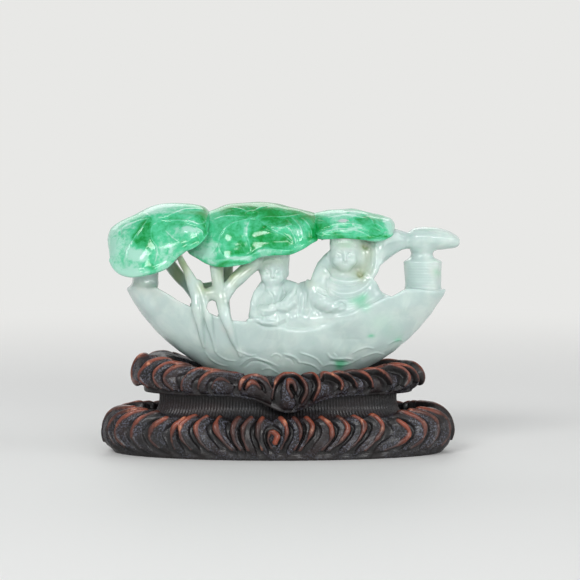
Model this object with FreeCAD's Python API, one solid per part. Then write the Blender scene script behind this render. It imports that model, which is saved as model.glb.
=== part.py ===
import FreeCAD, Part
import math
import os

# Jade carving of two boys in a boat under lotus leaves, on a carved wooden wave stand.
# Millimetres. +X runs along the boat from bow to stern, the viewer's side is -Y, +Z is up.
# The origin is the centre of the stand's flat foot.

# Stand, driving sizes
foot_half_length = 44.1
foot_half_width = 19.2
foot_ring_width = 5.9
foot_ring_end_width = 11.0
foot_ring_height = 10.0
foot_ring_end_rise = 1.7
foot_section_count = 200

waist_half_length = 29.8
waist_half_width = 10.0
foot_floor_thickness = 8.4
waist_height = 6.8

rim_half_length = 36.1
rim_half_width = 15.6
rim_ring_width = 5.4
rim_ring_end_width = 9.7
rim_ring_height = 5.3
rim_bow_rise = 4.9
rim_stern_rise = 2.2
rim_section_count = 170
rim_curl_drop = 4.0
rim_curl_reach = 7.5
rim_curl_offset = 3.0

# Carved waves of both rings: each crest stands out, its face slopes away on one side, and the other
# side is undercut into a hollow
crest_half_width = 0.75
crest_height = 0.8
crest_round_share = 0.3
face_reach = 2.3
ground_depth = 0.45
hollow_depth = 1.25
hollow_reach = 0.75
crest_reach = 12.0

tray_thickness = 4.4
seat_depth = 3.35
seat_clearance = 0.3

# Carving: hull
hull_radius = 44.85
hull_half_width = 16.0
hull_offset = 2.1
hull_depth = 16.15
gunwale_rise = 9.1
hull_wall = 2.4
well_depth = 4.8
well_half_length = 27.5

# Carving: lotus canopy, heights over the keel; each start and end here and below is a share of the
# hull's radius from its middle
leaf_thickness = 4.4
left_leaf_start_share = -0.9944
left_leaf_end_share = -0.4125
left_leaf_height = 46.0
left_leaf_drop = 18.5
left_leaf_reach = 12.9
middle_leaf_start_share = -0.5597
middle_leaf_end_share = 0.1873
middle_leaf_height = 46.25
middle_leaf_drop = 16.0
middle_leaf_reach = 12.7
right_leaf_start_share = 0.1449
right_leaf_end_share = 0.5998
right_leaf_height = 44.5
right_leaf_drop = 7.8
right_leaf_reach = 10.3

# Carving: stems and bow post
stem_radius = 1.55
stem_root_radius = 0.9
waterline_depth = 9.25
stem_lean = 4.0
fork_reach = 8.6
web_arch = 0.8
post_half_length = 3.1
post_half_width = 3.4
post_share = -0.7759
post_sink = 3.4

# Carving: boys
robe_sink = 0.8
robe_front = 11.6
robe_back = 4.6
left_robe_share = -0.0691
left_robe_half_width = 6.6
left_robe_height = 16.6
right_robe_share = 0.3077
right_robe_half_width = 8.3
right_robe_height = 20.0
head_half_width = 4.1
head_half_depth = 4.2
head_half_height = 4.3
head_forward = 5.2
left_head_shift = -0.9
right_head_shift = 1.1
neck_sink = 1.3
hair_radius = 3.3
sleeve_radius = 2.0
hand_radius = 1.55
hand_reach = 1.1
drapery_start_share = -0.0357
drapery_end_share = 0.1984
drapery_height = 12.6
drapery_drop = 3.2
drapery_forward = 6.0
drapery_half_depth = 4.2
drapery_lift = 0.4
hanging_sleeve_start_share = 0.3545
hanging_sleeve_end_share = 0.5151
hanging_sleeve_height = 13.8
hanging_sleeve_forward = 4.6
hanging_sleeve_half_depth = 2.6

# Carving: wine jar and lotus bud on the stern
jar_share = 0.7603
jar_radius = 4.8
jar_sink = 0.9
jar_height = 9.3
jar_rib_count = 6
jar_rib_height = 0.25
jar_neck_radius = 2.8
jar_neck_height = 2.5
bud_height = 5.75
bud_half_width = 4.6
bud_length = 13.5
bud_lead = 4.1
stalk_start_share = 0.4883
stalk_fall = 3.4
stalk_half_height = 4.4
stalk_half_depth = 2.7

over = 5.0

# Heights that follow from the sizes above
rim_under_height = foot_floor_thickness + waist_height
tray_top_height = rim_under_height + tray_thickness
keel_height = tray_top_height - seat_depth
hull_centre_height = keel_height + hull_radius
gunwale_low_height = keel_height + hull_depth
well_floor_height = gunwale_low_height - well_depth
waterline_height = keel_height + waterline_depth
robe_foot_height = well_floor_height - robe_sink


def along_hull(share):
    """A place along the boat, as a share of the hull's radius from its middle."""
    return hull_offset + hull_radius * share


# Places along the boat that follow from the sizes above
left_leaf_start, left_leaf_end = along_hull(left_leaf_start_share), along_hull(left_leaf_end_share)
middle_leaf_start, middle_leaf_end = along_hull(middle_leaf_start_share), along_hull(middle_leaf_end_share)
right_leaf_start, right_leaf_end = along_hull(right_leaf_start_share), along_hull(right_leaf_end_share)
post_offset = along_hull(post_share)
left_robe_offset = along_hull(left_robe_share)
right_robe_offset = along_hull(right_robe_share)
drapery_start, drapery_end = along_hull(drapery_start_share), along_hull(drapery_end_share)
hanging_sleeve_start = along_hull(hanging_sleeve_start_share)
hanging_sleeve_end = along_hull(hanging_sleeve_end_share)
jar_offset = along_hull(jar_share)
bud_start = jar_offset - bud_lead
stalk_start = along_hull(stalk_start_share)


def vec(x, y, z):
    return FreeCAD.Vector(x, y, z)


# General shapes


def ellipsoid(centre, half_x, half_y, half_z):
    """A ball stretched to three half sizes."""
    stretch = FreeCAD.Matrix()
    stretch.scale(half_x, half_y, half_z)
    ball = Part.makeSphere(1).transformGeometry(stretch)
    ball.translate(centre)
    return ball


def smooth_wire(points):
    """A closed smooth wire through points."""
    curve = Part.BSplineCurve()
    curve.interpolate(points, PeriodicFlag=True)
    return Part.Wire([curve.toShape()])


def open_curve(points):
    """A smooth edge through points."""
    curve = Part.BSplineCurve()
    curve.interpolate(points)
    return curve.toShape()


def loft(wires):
    return Part.makeLoft(wires, True)


spline_degree = 3


def band(rows):
    """A smooth band that closes on itself, steered by equal rows of points across it."""
    along, across = len(rows), len(rows[0])
    end_count = spline_degree + 1
    surface = Part.BSplineSurface()
    surface.buildFromPolesMultsKnots(
        rows, [1] * (along + 1), [end_count] + [1] * (across - end_count) + [end_count],
        list(range(along + 1)), list(range(across - spline_degree + 1)),
        True, False, spline_degree, spline_degree,
    )
    return surface.toShape()


def round_section(centre, across, up, half_across, half_up):
    """A closed oval of eight points round a centre."""
    points = []
    for step in range(8):
        turn = step * math.tau / 8
        point = centre + across * (half_across * math.cos(turn)) + up * (half_up * math.sin(turn))
        points.append(point)
    return smooth_wire(points)


def tube(points, radii):
    """A round tapering limb or stem through points."""
    wires = []
    last = len(points) - 1
    for index, point in enumerate(points):
        ahead = points[min(index + 1, last)] - points[max(index - 1, 0)]
        ahead.normalize()
        side = ahead.cross(vec(0, 1, 0))
        side.normalize()
        wires.append(round_section(point, side, side.cross(ahead), radii[index], radii[index]))
    return loft(wires)


def limb(joints):
    """Straight tapering runs with a ball at each joint, each joint its middle and its radius."""
    first, first_radius = joints[0]
    forms = []
    for (start, start_radius), (end, end_radius) in zip(joints, joints[1:]):
        reach = end - start
        forms.append(Part.makeCone(start_radius, end_radius, reach.Length, start, reach))
        forms.append(Part.makeSphere(end_radius, end))
    return Part.makeSphere(first_radius, first).fuse(forms)


def upright(levels):
    """A loft up Z through ovals, each (x, y, z, half x, half y)."""
    wires = []
    for x, y, z, half_x, half_y in levels:
        wires.append(round_section(vec(x, y, z), vec(1, 0, 0), vec(0, 1, 0), half_x, half_y))
    return loft(wires)


def fitted(shape, *neighbours):
    """A form cut back to the faces of those that it grows out of, as its one largest solid."""
    for neighbour in neighbours:
        if neighbour.BoundBox.intersect(shape.BoundBox):
            shape = shape.cut(neighbour)
    return max(shape.Solids, key=lambda solid: solid.Volume)


# Stand


def oval_point(half_length, half_width, turn):
    return half_length * math.cos(turn), half_width * math.sin(turn)


oval_steps = 9600


def oval_lengths(half_length, half_width):
    """How far along an oval's edge each of its fine steps lies."""
    lengths = [0.0]
    x0, y0 = oval_point(half_length, half_width, 0)
    for step in range(1, oval_steps + 1):
        x1, y1 = oval_point(half_length, half_width, step * math.tau / oval_steps)
        lengths.append(lengths[-1] + math.hypot(x1 - x0, y1 - y0))
        x0, y0 = x1, y1
    return lengths


def even_turns(half_length, half_width, count):
    """Angles that divide an oval's edge into equal steps."""
    lengths = oval_lengths(half_length, half_width)
    turns = []
    place = 0
    for index in range(count):
        target = lengths[-1] * index / count
        while lengths[place] < target:
            place += 1
        turns.append(place * math.tau / oval_steps)
    return turns


# Each pair: share of the ring's width from its outside, share of its height, from the crown outwards and
# down. The ring's top runs from its inner wall through the first pairs to the crown.
ring_outline_shares = (
    (0.84, 0.93), (0.66, 0.99), (0.48, 1.0), (0.31, 0.94), (0.17, 0.84), (0.08, 0.72), (0.03, 0.6),
    (0.0, 0.48), (0.0, 0.36), (0.03, 0.24), (0.09, 0.12), (0.2, 0.03),
)
ring_under_share = 0.28
ring_crown_row = 2

# Each crest: the side that its face lies on, then the points (x, z) of its line on the near side.
foot_crests = (
    (-1, (-44.0, 2.8), (-44.1, 6.5), (-43.9, 10.3), (-41.1, 12.1)),
    (-1, (-40.9, 2.7), (-42.3, 5.9), (-41.7, 9.5), (-39.2, 12.1)),
    (-1, (-38.2, 2.5), (-40.1, 4.8), (-40.0, 8.3), (-37.7, 11.2)),
    (-1, (-34.1, 2.4), (-35.9, 5.2), (-35.8, 8.7), (-34.0, 10.8)),
    (-1, (-29.3, 2.7), (-31.3, 5.0), (-31.3, 7.5), (-29.5, 9.6)),
    (-1, (-25.3, 2.6), (-26.0, 5.5), (-25.8, 8.0), (-25.0, 9.7)),
    (-1, (-21.3, 2.8), (-23.6, 5.6), (-24.5, 8.5), (-23.3, 11.5)),
    (-1, (-16.9, 2.7), (-19.4, 5.5), (-20.6, 8.7), (-19.8, 11.6)),
    (-1, (-11.1, 2.8), (-13.5, 5.2), (-15.7, 8.3), (-16.2, 11.0)),
    (-1, (-9.1, 2.8), (-10.6, 5.2), (-11.3, 8.1), (-10.8, 10.8)),
    (-1, (-7.2, 2.8), (-8.4, 5.7), (-8.6, 8.4), (-7.4, 11.1)),
    (-1, (-3.8, 2.9), (-4.8, 5.8), (-5.0, 8.2), (-4.3, 10.2)),
    (-1, (-1.4, 3.3), (-2.3, 5.3), (-1.6, 7.2), (-0.1, 6.3), (-0.6, 4.8)),
    (1, (0.8, 3.1), (2.0, 5.8), (2.3, 8.2), (0.8, 10.4)),
    (1, (4.0, 2.9), (5.4, 5.3), (5.7, 8.2), (4.5, 10.9)),
    (1, (5.4, 2.8), (7.6, 5.7), (8.8, 8.7), (8.1, 11.3)),
    (1, (10.8, 2.8), (12.9, 5.2), (13.4, 8.1), (12.2, 10.8)),
    (1, (12.7, 2.7), (15.6, 5.1), (17.6, 8.0), (16.8, 11.2)),
    (1, (17.3, 2.6), (20.0, 5.5), (22.0, 8.9), (21.2, 12.1)),
    (1, (21.5, 2.5), (24.4, 5.4), (26.4, 8.0), (26.4, 10.9)),
    (1, (26.4, 2.3), (30.4, 4.1), (32.4, 6.4), (31.1, 9.0)),
    (1, (32.9, 2.5), (35.7, 4.7), (36.7, 8.1), (34.7, 11.5)),
    (1, (37.5, 2.3), (39.3, 4.9), (40.1, 8.3), (37.5, 12.0)),
    (1, (41.0, 2.5), (42.6, 5.0), (42.9, 8.3), (40.2, 12.2)),
)
rim_crests = (
    (-1, (-34.5, 17.6), (-36.1, 19.4), (-36.1, 22.0), (-34.0, 24.2)),
    (-1, (-32.7, 17.1), (-34.3, 19.4), (-33.4, 22.2), (-31.1, 24.7), (-28.0, 26.1)),
    (-1, (-29.0, 16.9), (-30.6, 19.5), (-29.5, 22.8), (-26.5, 24.7), (-23.0, 24.8)),
    (-1, (-26.2, 17.0), (-28.0, 19.4), (-27.0, 21.9), (-24.5, 23.5)),
    (-1, (-23.7, 16.9), (-23.2, 19.9), (-21.5, 21.9), (-19.0, 23.0), (-15.5, 23.0), (-12.1, 22.4),
     (-9.7, 20.7)),
    (-1, (-19.5, 17.1), (-19.0, 19.3), (-17.3, 21.0), (-14.8, 21.6), (-12.1, 20.7)),
    (-1, (-16.0, 17.4), (-15.6, 18.9), (-13.8, 19.4), (-11.9, 18.7)),
    (-1, (-9.2, 17.3), (-8.9, 19.2), (-7.0, 20.2), (-4.5, 20.0), (-2.6, 19.0), (-1.4, 17.3)),
    (-1, (-7.7, 17.5), (-6.7, 18.8), (-5.3, 18.5), (-4.3, 17.6)),
    (1, (-1.4, 15.1), (-0.4, 19.0), (1.8, 21.0), (4.5, 21.2), (6.4, 19.5), (7.1, 16.8), (5.9, 14.1)),
    (1, (3.5, 15.6), (2.5, 17.6), (2.8, 19.0), (4.0, 18.8), (4.5, 17.1)),
    (1, (6.9, 20.5), (7.9, 22.2), (9.6, 21.2), (10.3, 18.2), (8.9, 14.8)),
    (1, (10.8, 19.5), (12.8, 20.9), (14.7, 20.1), (15.9, 18.4), (15.5, 17.2)),
    (1, (14.7, 20.6), (16.9, 21.3), (18.6, 20.0), (19.4, 17.8)),
    (1, (18.1, 21.5), (20.6, 22.2), (22.6, 20.6), (23.3, 17.7)),
    (1, (22.6, 21.9), (25.1, 22.8), (26.8, 21.2), (27.9, 18.2)),
    (1, (25.6, 23.0), (28.6, 23.6), (31.4, 22.2), (32.7, 19.6), (31.4, 17.2)),
    (1, (29.8, 23.5), (32.4, 22.8), (34.5, 20.7), (34.8, 18.1)),
)


class Ring:
    """A wave ring between two ovals, each (half length, half width), with its crests laid out on it.

    A place on it is how far along its outside it lies, and how far out and down from its inner wall.
    """

    def __init__(self, outside, inside, low_at, high_at, wall_low, wall_high, sections, crests):
        self.outside, self.inside = outside, inside
        self.low_at, self.high_at = low_at, high_at
        self.wall_low, self.wall_high = wall_low, wall_high
        self.turns = even_turns(*outside, sections)
        self.lengths = oval_lengths(*outside)
        self.length = self.lengths[-1]
        width = outside[1] - inside[1]
        height = high_at(-math.pi / 2) - low_at(math.pi / 2)
        outline = [(1.0, (wall_high - wall_low) / height), *ring_outline_shares, (ring_under_share, 0.0)]
        self.across = [0.0]
        for (depth_0, up_0), (depth_1, up_1) in zip(outline, outline[1:]):
            run = math.hypot((depth_1 - depth_0) * width, (up_1 - up_0) * height)
            self.across.append(self.across[-1] + run)
        self.crests = []
        for face_side, *line in crests:
            near = [self.near_place(x, z) for x, z in line]
            far = [(place + self.length / 2, across) for place, across in near]
            self.crests += [(face_side, near), (face_side, far)]
        rows = []
        for index, turn in enumerate(self.turns):
            rows.append(self.carved_row(turn, self.length * index / sections))
        self.skin = band(rows)
        rims = sorted((edge for edge in self.skin.Edges if edge.Closed), key=lambda edge: edge.Length)
        self.wall_top, self.under_edge = rims[0], rims[-1]
        self.drop = vec(0, 0, wall_low - wall_high)

    def near_place(self, x, z):
        """The place on the ring's near side at one height, at one distance along the boat."""
        turn = math.tau - math.acos(x / self.outside[0])
        place = self.lengths[round(oval_steps * turn / math.tau)]
        low, high = self.low_at(turn), self.high_at(turn)
        rows = [(0.0, self.across[ring_crown_row + 1])]
        below_crown = ring_outline_shares[ring_crown_row + 1:]
        for (_, up), across in zip(below_crown, self.across[ring_crown_row + 2:]):
            rows.append((1 - up, across))
        rows.append((1.0, self.across[-1]))
        share = min(max((high - z) / (high - low), 0.0), 1.0)
        return place, between(rows, share)

    def wave_height(self, place, across):
        """How far the carved waves stand out at one place, or lie under the ring's plain face."""
        nearest, face = face_reach + crest_half_width, True
        for face_side, line in self.crests:
            for (place_0, across_0), (place_1, across_1) in zip(line, line[1:]):
                along = (place - place_0 + self.length / 2) % self.length - self.length / 2
                if abs(along) > crest_reach:
                    continue
                run, fall = place_1 - place_0, across_1 - across_0
                share = (along * run + (across - across_0) * fall) / (run * run + fall * fall)
                share = min(max(share, 0.0), 1.0)
                aside, down = along - share * run, across - across_0 - share * fall
                away = math.hypot(aside, down)
                if away < nearest:
                    nearest = away
                    face = (aside * fall - down * run) * face_side > 0
        return crest_profile(nearest, face)

    def carved_row(self, turn, place):
        """The points across one place of the carved outside, from the inner wall's top to the underside."""
        edge = vec(*oval_point(*self.outside, turn), 0)
        wall = vec(*oval_point(*self.inside, turn), 0)
        width = (edge - wall).Length
        outward = (edge - wall).normalize()
        low, high = self.low_at(turn), self.high_at(turn)
        plain = [wall + vec(0, 0, self.wall_high)]
        for depth_share, height_share in (*ring_outline_shares, (ring_under_share, 0.0)):
            height = low + (high - low) * height_share
            plain.append(edge - outward * (width * depth_share) + vec(0, 0, height))
        points = plain[:1]
        for before, point, after, across in zip(plain, plain[1:], plain[2:], self.across[1:]):
            normal = (after - before).cross(vec(0, 0, 1).cross(outward)).normalize()
            points.append(point + normal * self.wave_height(place, across))
        return [*points, plain[-1]]

    def solid(self):
        """The carved skin closed by a straight inner wall and an underside."""
        wall = self.wall_top.extrude(self.drop)
        underside = Part.makeRuledSurface(self.wall_top.translated(self.drop), self.under_edge)
        shell = Part.makeShell([self.skin, wall, underside])
        shell.sewShape()
        return Part.Solid(shell)

    def floor(self):
        """The plate that fills the ring's inside, as thick as the inner wall is tall."""
        foot = Part.Wire([self.wall_top.translated(self.drop)])
        return Part.Face(foot).extrude(-self.drop)


def smooth_step(share):
    share = min(max(share, 0.0), 1.0)
    return share * share * (3 - 2 * share)


def crest_profile(away, face):
    """The height of the carving at one distance from a crest's line."""
    rounded = crest_height * (1 - crest_round_share * min(away / crest_half_width, 1.0) ** 2)
    beyond = away - crest_half_width
    if face:
        return rounded - (rounded + ground_depth) * smooth_step(beyond / face_reach)
    climb = smooth_step((beyond - hollow_reach) / face_reach)
    hollow = hollow_depth - (hollow_depth - ground_depth) * climb
    return rounded - (rounded + hollow) * smooth_step(beyond / hollow_reach)


def oval_wire(half_length, half_width, z):
    ellipse = Part.Ellipse(vec(0, 0, z), half_length, half_width)
    return Part.Wire([ellipse.toShape()])


def end_share(turn):
    """Nought on the long sides of an oval, one at its ends."""
    return abs(math.cos(turn)) ** 3


foot_outside = (foot_half_length, foot_half_width)
foot_inside = (foot_half_length - foot_ring_end_width, foot_half_width - foot_ring_width)
rim_outside = (rim_half_length, rim_half_width)
rim_inside = (rim_half_length - rim_ring_end_width, rim_half_width - rim_ring_width)


def foot_high_at(turn):
    return foot_ring_height + foot_ring_end_rise * end_share(turn)


def foot_low_at(turn):
    return 0.0


def foot_ring():
    return Ring(
        foot_outside, foot_inside, foot_low_at, foot_high_at,
        0, foot_floor_thickness, foot_section_count, foot_crests,
    )


# Each pair: share of the waist's height, share of its flare.
waist_profile_shares = ((0.0, 1.0), (0.16, 0.5), (0.38, 0.16), (0.66, 0.0), (1.0, 0.04))


def make_waist():
    """The hollow-sided neck of the stand, flared at its foot to the foot ring's inner wall."""
    foot_length, foot_width = foot_inside
    wires = []
    for height_share, flare_share in waist_profile_shares:
        half_length = waist_half_length + (foot_length - waist_half_length) * flare_share
        half_width = waist_half_width + (foot_width - waist_half_width) * flare_share
        wires.append(oval_wire(half_length, half_width, foot_floor_thickness + waist_height * height_share))
    return loft(wires)


def rim_high_at(turn):
    rise = rim_stern_rise if math.cos(turn) > 0 else rim_bow_rise
    return rim_under_height + rim_ring_height + rise * end_share(turn)


def rim_low_at(turn):
    """The rim's underside, which hangs lower where the middle curl droops in front."""
    x, y = oval_point(*rim_outside, turn)
    drop = rim_curl_drop * math.exp(-(((x - rim_curl_offset) / rim_curl_reach) ** 2))
    return rim_under_height - (drop if y < 0 else 0.0)


def rim_ring():
    return Ring(
        rim_outside, rim_inside, rim_low_at, rim_high_at,
        rim_under_height, tray_top_height, rim_section_count, rim_crests,
    )


def make_tray(ring):
    """The floor inside the rim, with the seat that the boat's keel stands in."""
    return fitted(ring.floor(), hull_form(seat_clearance))


# Hull

# Each row: share of the hull's radius from its middle, share of the gunwale's rise.
gunwale_shares = (
    (-0.916, 0.95), (-0.816, 1.0), (-0.72, 0.9), (-0.542, 0.46), (-0.381, 0.13), (-0.225, 0.0),
    (0.0, 0.01), (0.198, 0.1), (0.355, 0.24), (0.604, 0.58), (0.76, 0.79), (0.934, 0.99),
)


def hull_form(grow):
    return ellipsoid(
        vec(hull_offset, 0, hull_centre_height),
        hull_radius + grow, hull_half_width + grow, hull_radius + grow,
    )


def between(rows, along):
    """The second value of a table's rows at one value of the first."""
    for (start, low), (end, high) in zip(rows, rows[1:]):
        if start <= along <= end:
            return low + (high - low) * (along - start) / (end - start)
    return rows[-1][1]


def gunwale_height(x):
    return gunwale_low_height + gunwale_rise * between(gunwale_shares, (x - hull_offset) / hull_radius)


def hull_half_width_at(x, z):
    """Half the hull's width at one place along it and one height."""
    along = (x - hull_offset) / hull_radius
    down = (hull_centre_height - z) / hull_radius
    return hull_half_width * math.sqrt(max(1 - along**2 - down**2, 0.0))


def above_gunwale():
    """The space over the gunwale's curved line."""
    depth = hull_half_width + over
    points = []
    for share, rise_share in gunwale_shares:
        points.append(vec(along_hull(share), -depth, gunwale_low_height + gunwale_rise * rise_share))
    line = Part.BSplineCurve()
    line.interpolate(points)
    first, last = points[0], points[-1]
    aside, upward = vec(over, 0, 0), vec(0, 0, hull_radius)
    corners = [last, last + aside, last + aside + upward, first - aside + upward, first - aside, first]
    outline = Part.Wire([line.toShape()] + Part.makePolygon(corners).Edges)
    return Part.Face(outline).extrude(vec(0, 2 * depth, 0))


def well_form():
    """The hollow that the boys sit in."""
    length = 2 * well_half_length
    corner = vec(hull_offset - well_half_length, -hull_half_width, well_floor_height)
    return hull_form(-hull_wall).common(Part.makeBox(length, 2 * hull_half_width, hull_radius, corner))


def make_hull():
    hull = hull_form(0).cut(above_gunwale())
    low = [solid for solid in hull.Solids if solid.CenterOfMass.z < hull_centre_height]
    return fitted(max(low, key=lambda solid: solid.Volume), well_form())


# Lotus leaves
# Each row: share along the leaf, the top's share of the drop, the lip's share of the drop, share of reach.

left_leaf_shares = (
    (0.012, 0.392, 0.587, 0.24), (0.032, 0.338, 0.695, 0.42), (0.061, 0.305, 0.804, 0.57),
    (0.099, 0.27, 0.879, 0.7), (0.166, 0.223, 0.94, 0.84), (0.243, 0.168, 0.962, 0.94),
    (0.358, 0.084, 0.944, 1.0), (0.501, 0.017, 0.894, 1.0), (0.597, 0.001, 0.828, 1.0),
    (0.692, 0.003, 0.689, 1.0), (0.759, 0.006, 0.617, 1.0), (0.836, 0.014, 0.57, 0.98),
    (0.912, 0.041, 0.495, 0.92), (0.96, 0.095, 0.412, 0.78), (0.988, 0.162, 0.326, 0.5),
)
middle_leaf_shares = (
    (0.009, 0.547, 0.761, 0.34), (0.054, 0.406, 0.808, 0.54), (0.106, 0.274, 0.858, 0.68),
    (0.166, 0.16, 0.933, 0.8), (0.218, 0.107, 0.96, 0.88), (0.292, 0.051, 0.964, 0.95),
    (0.404, 0.016, 0.946, 1.0), (0.478, 0.005, 0.903, 1.0), (0.538, 0.001, 0.83, 1.0),
    (0.627, 0.013, 0.797, 1.0), (0.702, 0.032, 0.794, 1.0), (0.776, 0.079, 0.788, 1.0),
    (0.851, 0.107, 0.72, 0.96), (0.925, 0.147, 0.62, 0.82), (0.97, 0.178, 0.582, 0.64),
    (1.0, 0.235, 0.527, 0.44),
)
right_leaf_shares = (
    (0.007, 0.142, 0.857, 0.66), (0.092, 0.078, 0.898, 0.84), (0.215, 0.014, 0.908, 0.96),
    (0.398, 0.0, 0.878, 1.0), (0.52, 0.001, 0.899, 1.0), (0.642, 0.065, 0.928, 1.0),
    (0.74, 0.142, 0.965, 1.0), (0.826, 0.193, 0.956, 0.95), (0.899, 0.238, 0.879, 0.84),
    (0.955, 0.308, 0.768, 0.66), (0.988, 0.417, 0.672, 0.42),
)


leaf_body_share = 0.45
arch_steps = 8


def arch(x, half, lip, tall):
    """Points of a half oval across the boat, from its near edge over the top to its far edge."""
    points = []
    for step in range(arch_steps + 1):
        turn = math.pi * step / arch_steps
        points.append(vec(x, -half * math.cos(turn), lip + tall * math.sin(turn)))
    return points


def leaf(start, end, crown, drop, reach, shares):
    """A drooping leaf: an arched sheet lofted along X, hollow underneath."""
    wires = []
    for along, top_share, lip_share, reach_share in shares:
        x = start + (end - start) * along
        top = crown - drop * top_share
        lip = crown - drop * lip_share
        half = reach * reach_share
        thick = min(leaf_thickness, leaf_body_share * (top - lip), leaf_body_share * half)
        outer = arch(x, half, lip, top - lip)
        inner = arch(x, half - thick, lip, top - lip - thick)[::-1]
        far_edge = Part.LineSegment(outer[-1], inner[0]).toShape()
        near_edge = Part.LineSegment(inner[-1], outer[0]).toShape()
        wires.append(Part.Wire([open_curve(outer), far_edge, open_curve(inner), near_edge]))
    return loft(wires)


def leaf_under(start, end, crown, drop, reach, shares, x, y):
    """The height of a leaf's hollow side over one place."""
    along = (x - start) / (end - start)
    top, lip, half = (between([(row[0], row[column]) for row in shares], along) for column in (1, 2, 3))
    inner_top, inner_lip = crown - drop * top - leaf_thickness, crown - drop * lip
    inside = math.sqrt(max(1 - (y / (reach * half - leaf_thickness)) ** 2, 0.0))
    return inner_lip + (inner_top - inner_lip) * inside


left_leaf_crown = keel_height + left_leaf_height
middle_leaf_crown = keel_height + middle_leaf_height
right_leaf_crown = keel_height + right_leaf_height


def left_leaf_under(x, y):
    return leaf_under(
        left_leaf_start, left_leaf_end, left_leaf_crown, left_leaf_drop,
        left_leaf_reach, left_leaf_shares, x, y,
    )


def middle_leaf_under(x, y):
    return leaf_under(
        middle_leaf_start, middle_leaf_end, middle_leaf_crown, middle_leaf_drop,
        middle_leaf_reach, middle_leaf_shares, x, y,
    )


def right_leaf_under(x, y):
    return leaf_under(
        right_leaf_start, right_leaf_end, right_leaf_crown, right_leaf_drop,
        right_leaf_reach, right_leaf_shares, x, y,
    )


# Stems and the bow post

front, back = -1, 1

# Each row: share of the hull's radius from its middle, share of the climb from the water to the leaf.
outer_stem_shares = (
    (-0.479, 0.02), (-0.502, 0.25), (-0.513, 0.45), (-0.542, 0.66), (-0.577, 0.83), (-0.613, 1.0),
)
inner_stem_shares = (
    (-0.404, 0.0), (-0.433, 0.24), (-0.45, 0.44), (-0.466, 0.6), (-0.479, 0.74), (-0.497, 0.88),
)
middle_stem_shares = (
    (-0.274, 0.0), (-0.314, 0.22), (-0.341, 0.42), (-0.352, 0.62), (-0.372, 0.82), (-0.386, 1.0),
)
back_outer_stem_shares = ((-0.448, 0.02), (-0.479, 0.25), (-0.519, 0.45), (-0.582, 0.68), (-0.662, 1.0))
back_middle_stem_shares = (
    (-0.27, 0.0), (-0.3, 0.14), (-0.325, 0.28), (-0.346, 0.44), (-0.342, 0.62), (-0.335, 0.8),
    (-0.337, 1.0),
)


def stem_points(shares, under, side):
    """Points of a stem that climbs the hull's face from the water and goes on up into a leaf."""
    end = along_hull(shares[-1][0])
    top = under(end, hull_half_width_at(end, gunwale_height(end)) - stem_lean) + leaf_thickness / 2
    points = []
    for share, climb_share in shares:
        x = along_hull(share)
        z = waterline_height + (top - waterline_height) * climb_share
        rail = gunwale_height(x)
        y = hull_half_width_at(x, min(z, rail))
        if z > rail:
            y -= stem_lean * (z - rail) / (top - rail)
        points.append(vec(x, side * y, z))
    return points


def stem(points):
    return tube(points, [stem_root_radius] + [stem_radius] * (len(points) - 1))


outer_stem_points = stem_points(outer_stem_shares, left_leaf_under, front)
inner_stem_points = stem_points(inner_stem_shares, left_leaf_under, front)
middle_stem_points = stem_points(middle_stem_shares, middle_leaf_under, front)
back_outer_stem_points = stem_points(back_outer_stem_shares, left_leaf_under, back)
back_middle_stem_points = stem_points(back_middle_stem_shares, middle_leaf_under, back)

fork_joint = 3

# Each row: share along the fork's reach, share of its climb, share of the stem's radius.
fork_shares = ((0.0, 0.0, 0.95), (0.5, 0.56, 0.88), (1.0, 1.0, 0.8))


def make_fork():
    """The branch that leaves the middle stem and leans towards the left boy's head."""
    start = middle_stem_points[fork_joint]
    end_under = middle_leaf_under(start.x + fork_reach, start.y + stem_lean)
    climb = end_under + leaf_thickness / 2 - start.z
    joints = []
    for along, up, thick in fork_shares:
        joints.append((start + vec(fork_reach * along, stem_lean * along, climb * up), stem_radius * thick))
    return limb(joints)


web_radius_shares = (0.9, 0.75, 0.85)


def make_web():
    """The arched web of stone between the inner and the middle stem."""
    left, right = inner_stem_points[fork_joint], middle_stem_points[fork_joint]
    middle = (left + right) / 2 + vec(0, 0, web_arch)
    joints = []
    for point, thick in zip((left, middle, right), web_radius_shares):
        joints.append((point, stem_radius * thick))
    return limb(joints)


post_waist_share = 0.86


def make_post():
    """The short neck that joins the bow's tip to the left leaf."""
    foot = gunwale_height(post_offset) - post_sink
    top = left_leaf_under(post_offset, 0) + leaf_thickness / 2
    narrow_x, narrow_y = post_half_length * post_waist_share, post_half_width * post_waist_share
    levels = (
        (post_offset, 0, foot, post_half_length, post_half_width),
        (post_offset, 0, (foot + top) / 2, narrow_x, narrow_y),
        (post_offset, 0, top, post_half_length, post_half_width),
    )
    return upright(levels)


# Boys

# Each row: shares of the robe's height, of its half width, and of its reach to the front and the back.
left_robe_shares = (
    (0.0, 0.8, 0.5, 0.7), (0.22, 0.9, 0.62, 0.95), (0.34, 0.96, 0.84, 1.0), (0.46, 1.0, 0.98, 1.0),
    (0.7, 0.9, 0.84, 0.7), (0.86, 0.74, 0.74, 0.35), (0.95, 0.52, 0.68, 0.0), (1.0, 0.36, 0.64, -0.15),
)
right_robe_shares = (
    (0.0, 0.84, 0.5, 0.7), (0.2, 0.9, 0.62, 0.95), (0.3, 0.96, 0.8, 1.0), (0.42, 0.99, 1.0, 1.0),
    (0.6, 0.99, 0.87, 0.8), (0.8, 1.0, 0.78, 0.5), (0.92, 0.84, 0.72, 0.1), (1.0, 0.5, 0.66, -0.1),
)


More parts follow.
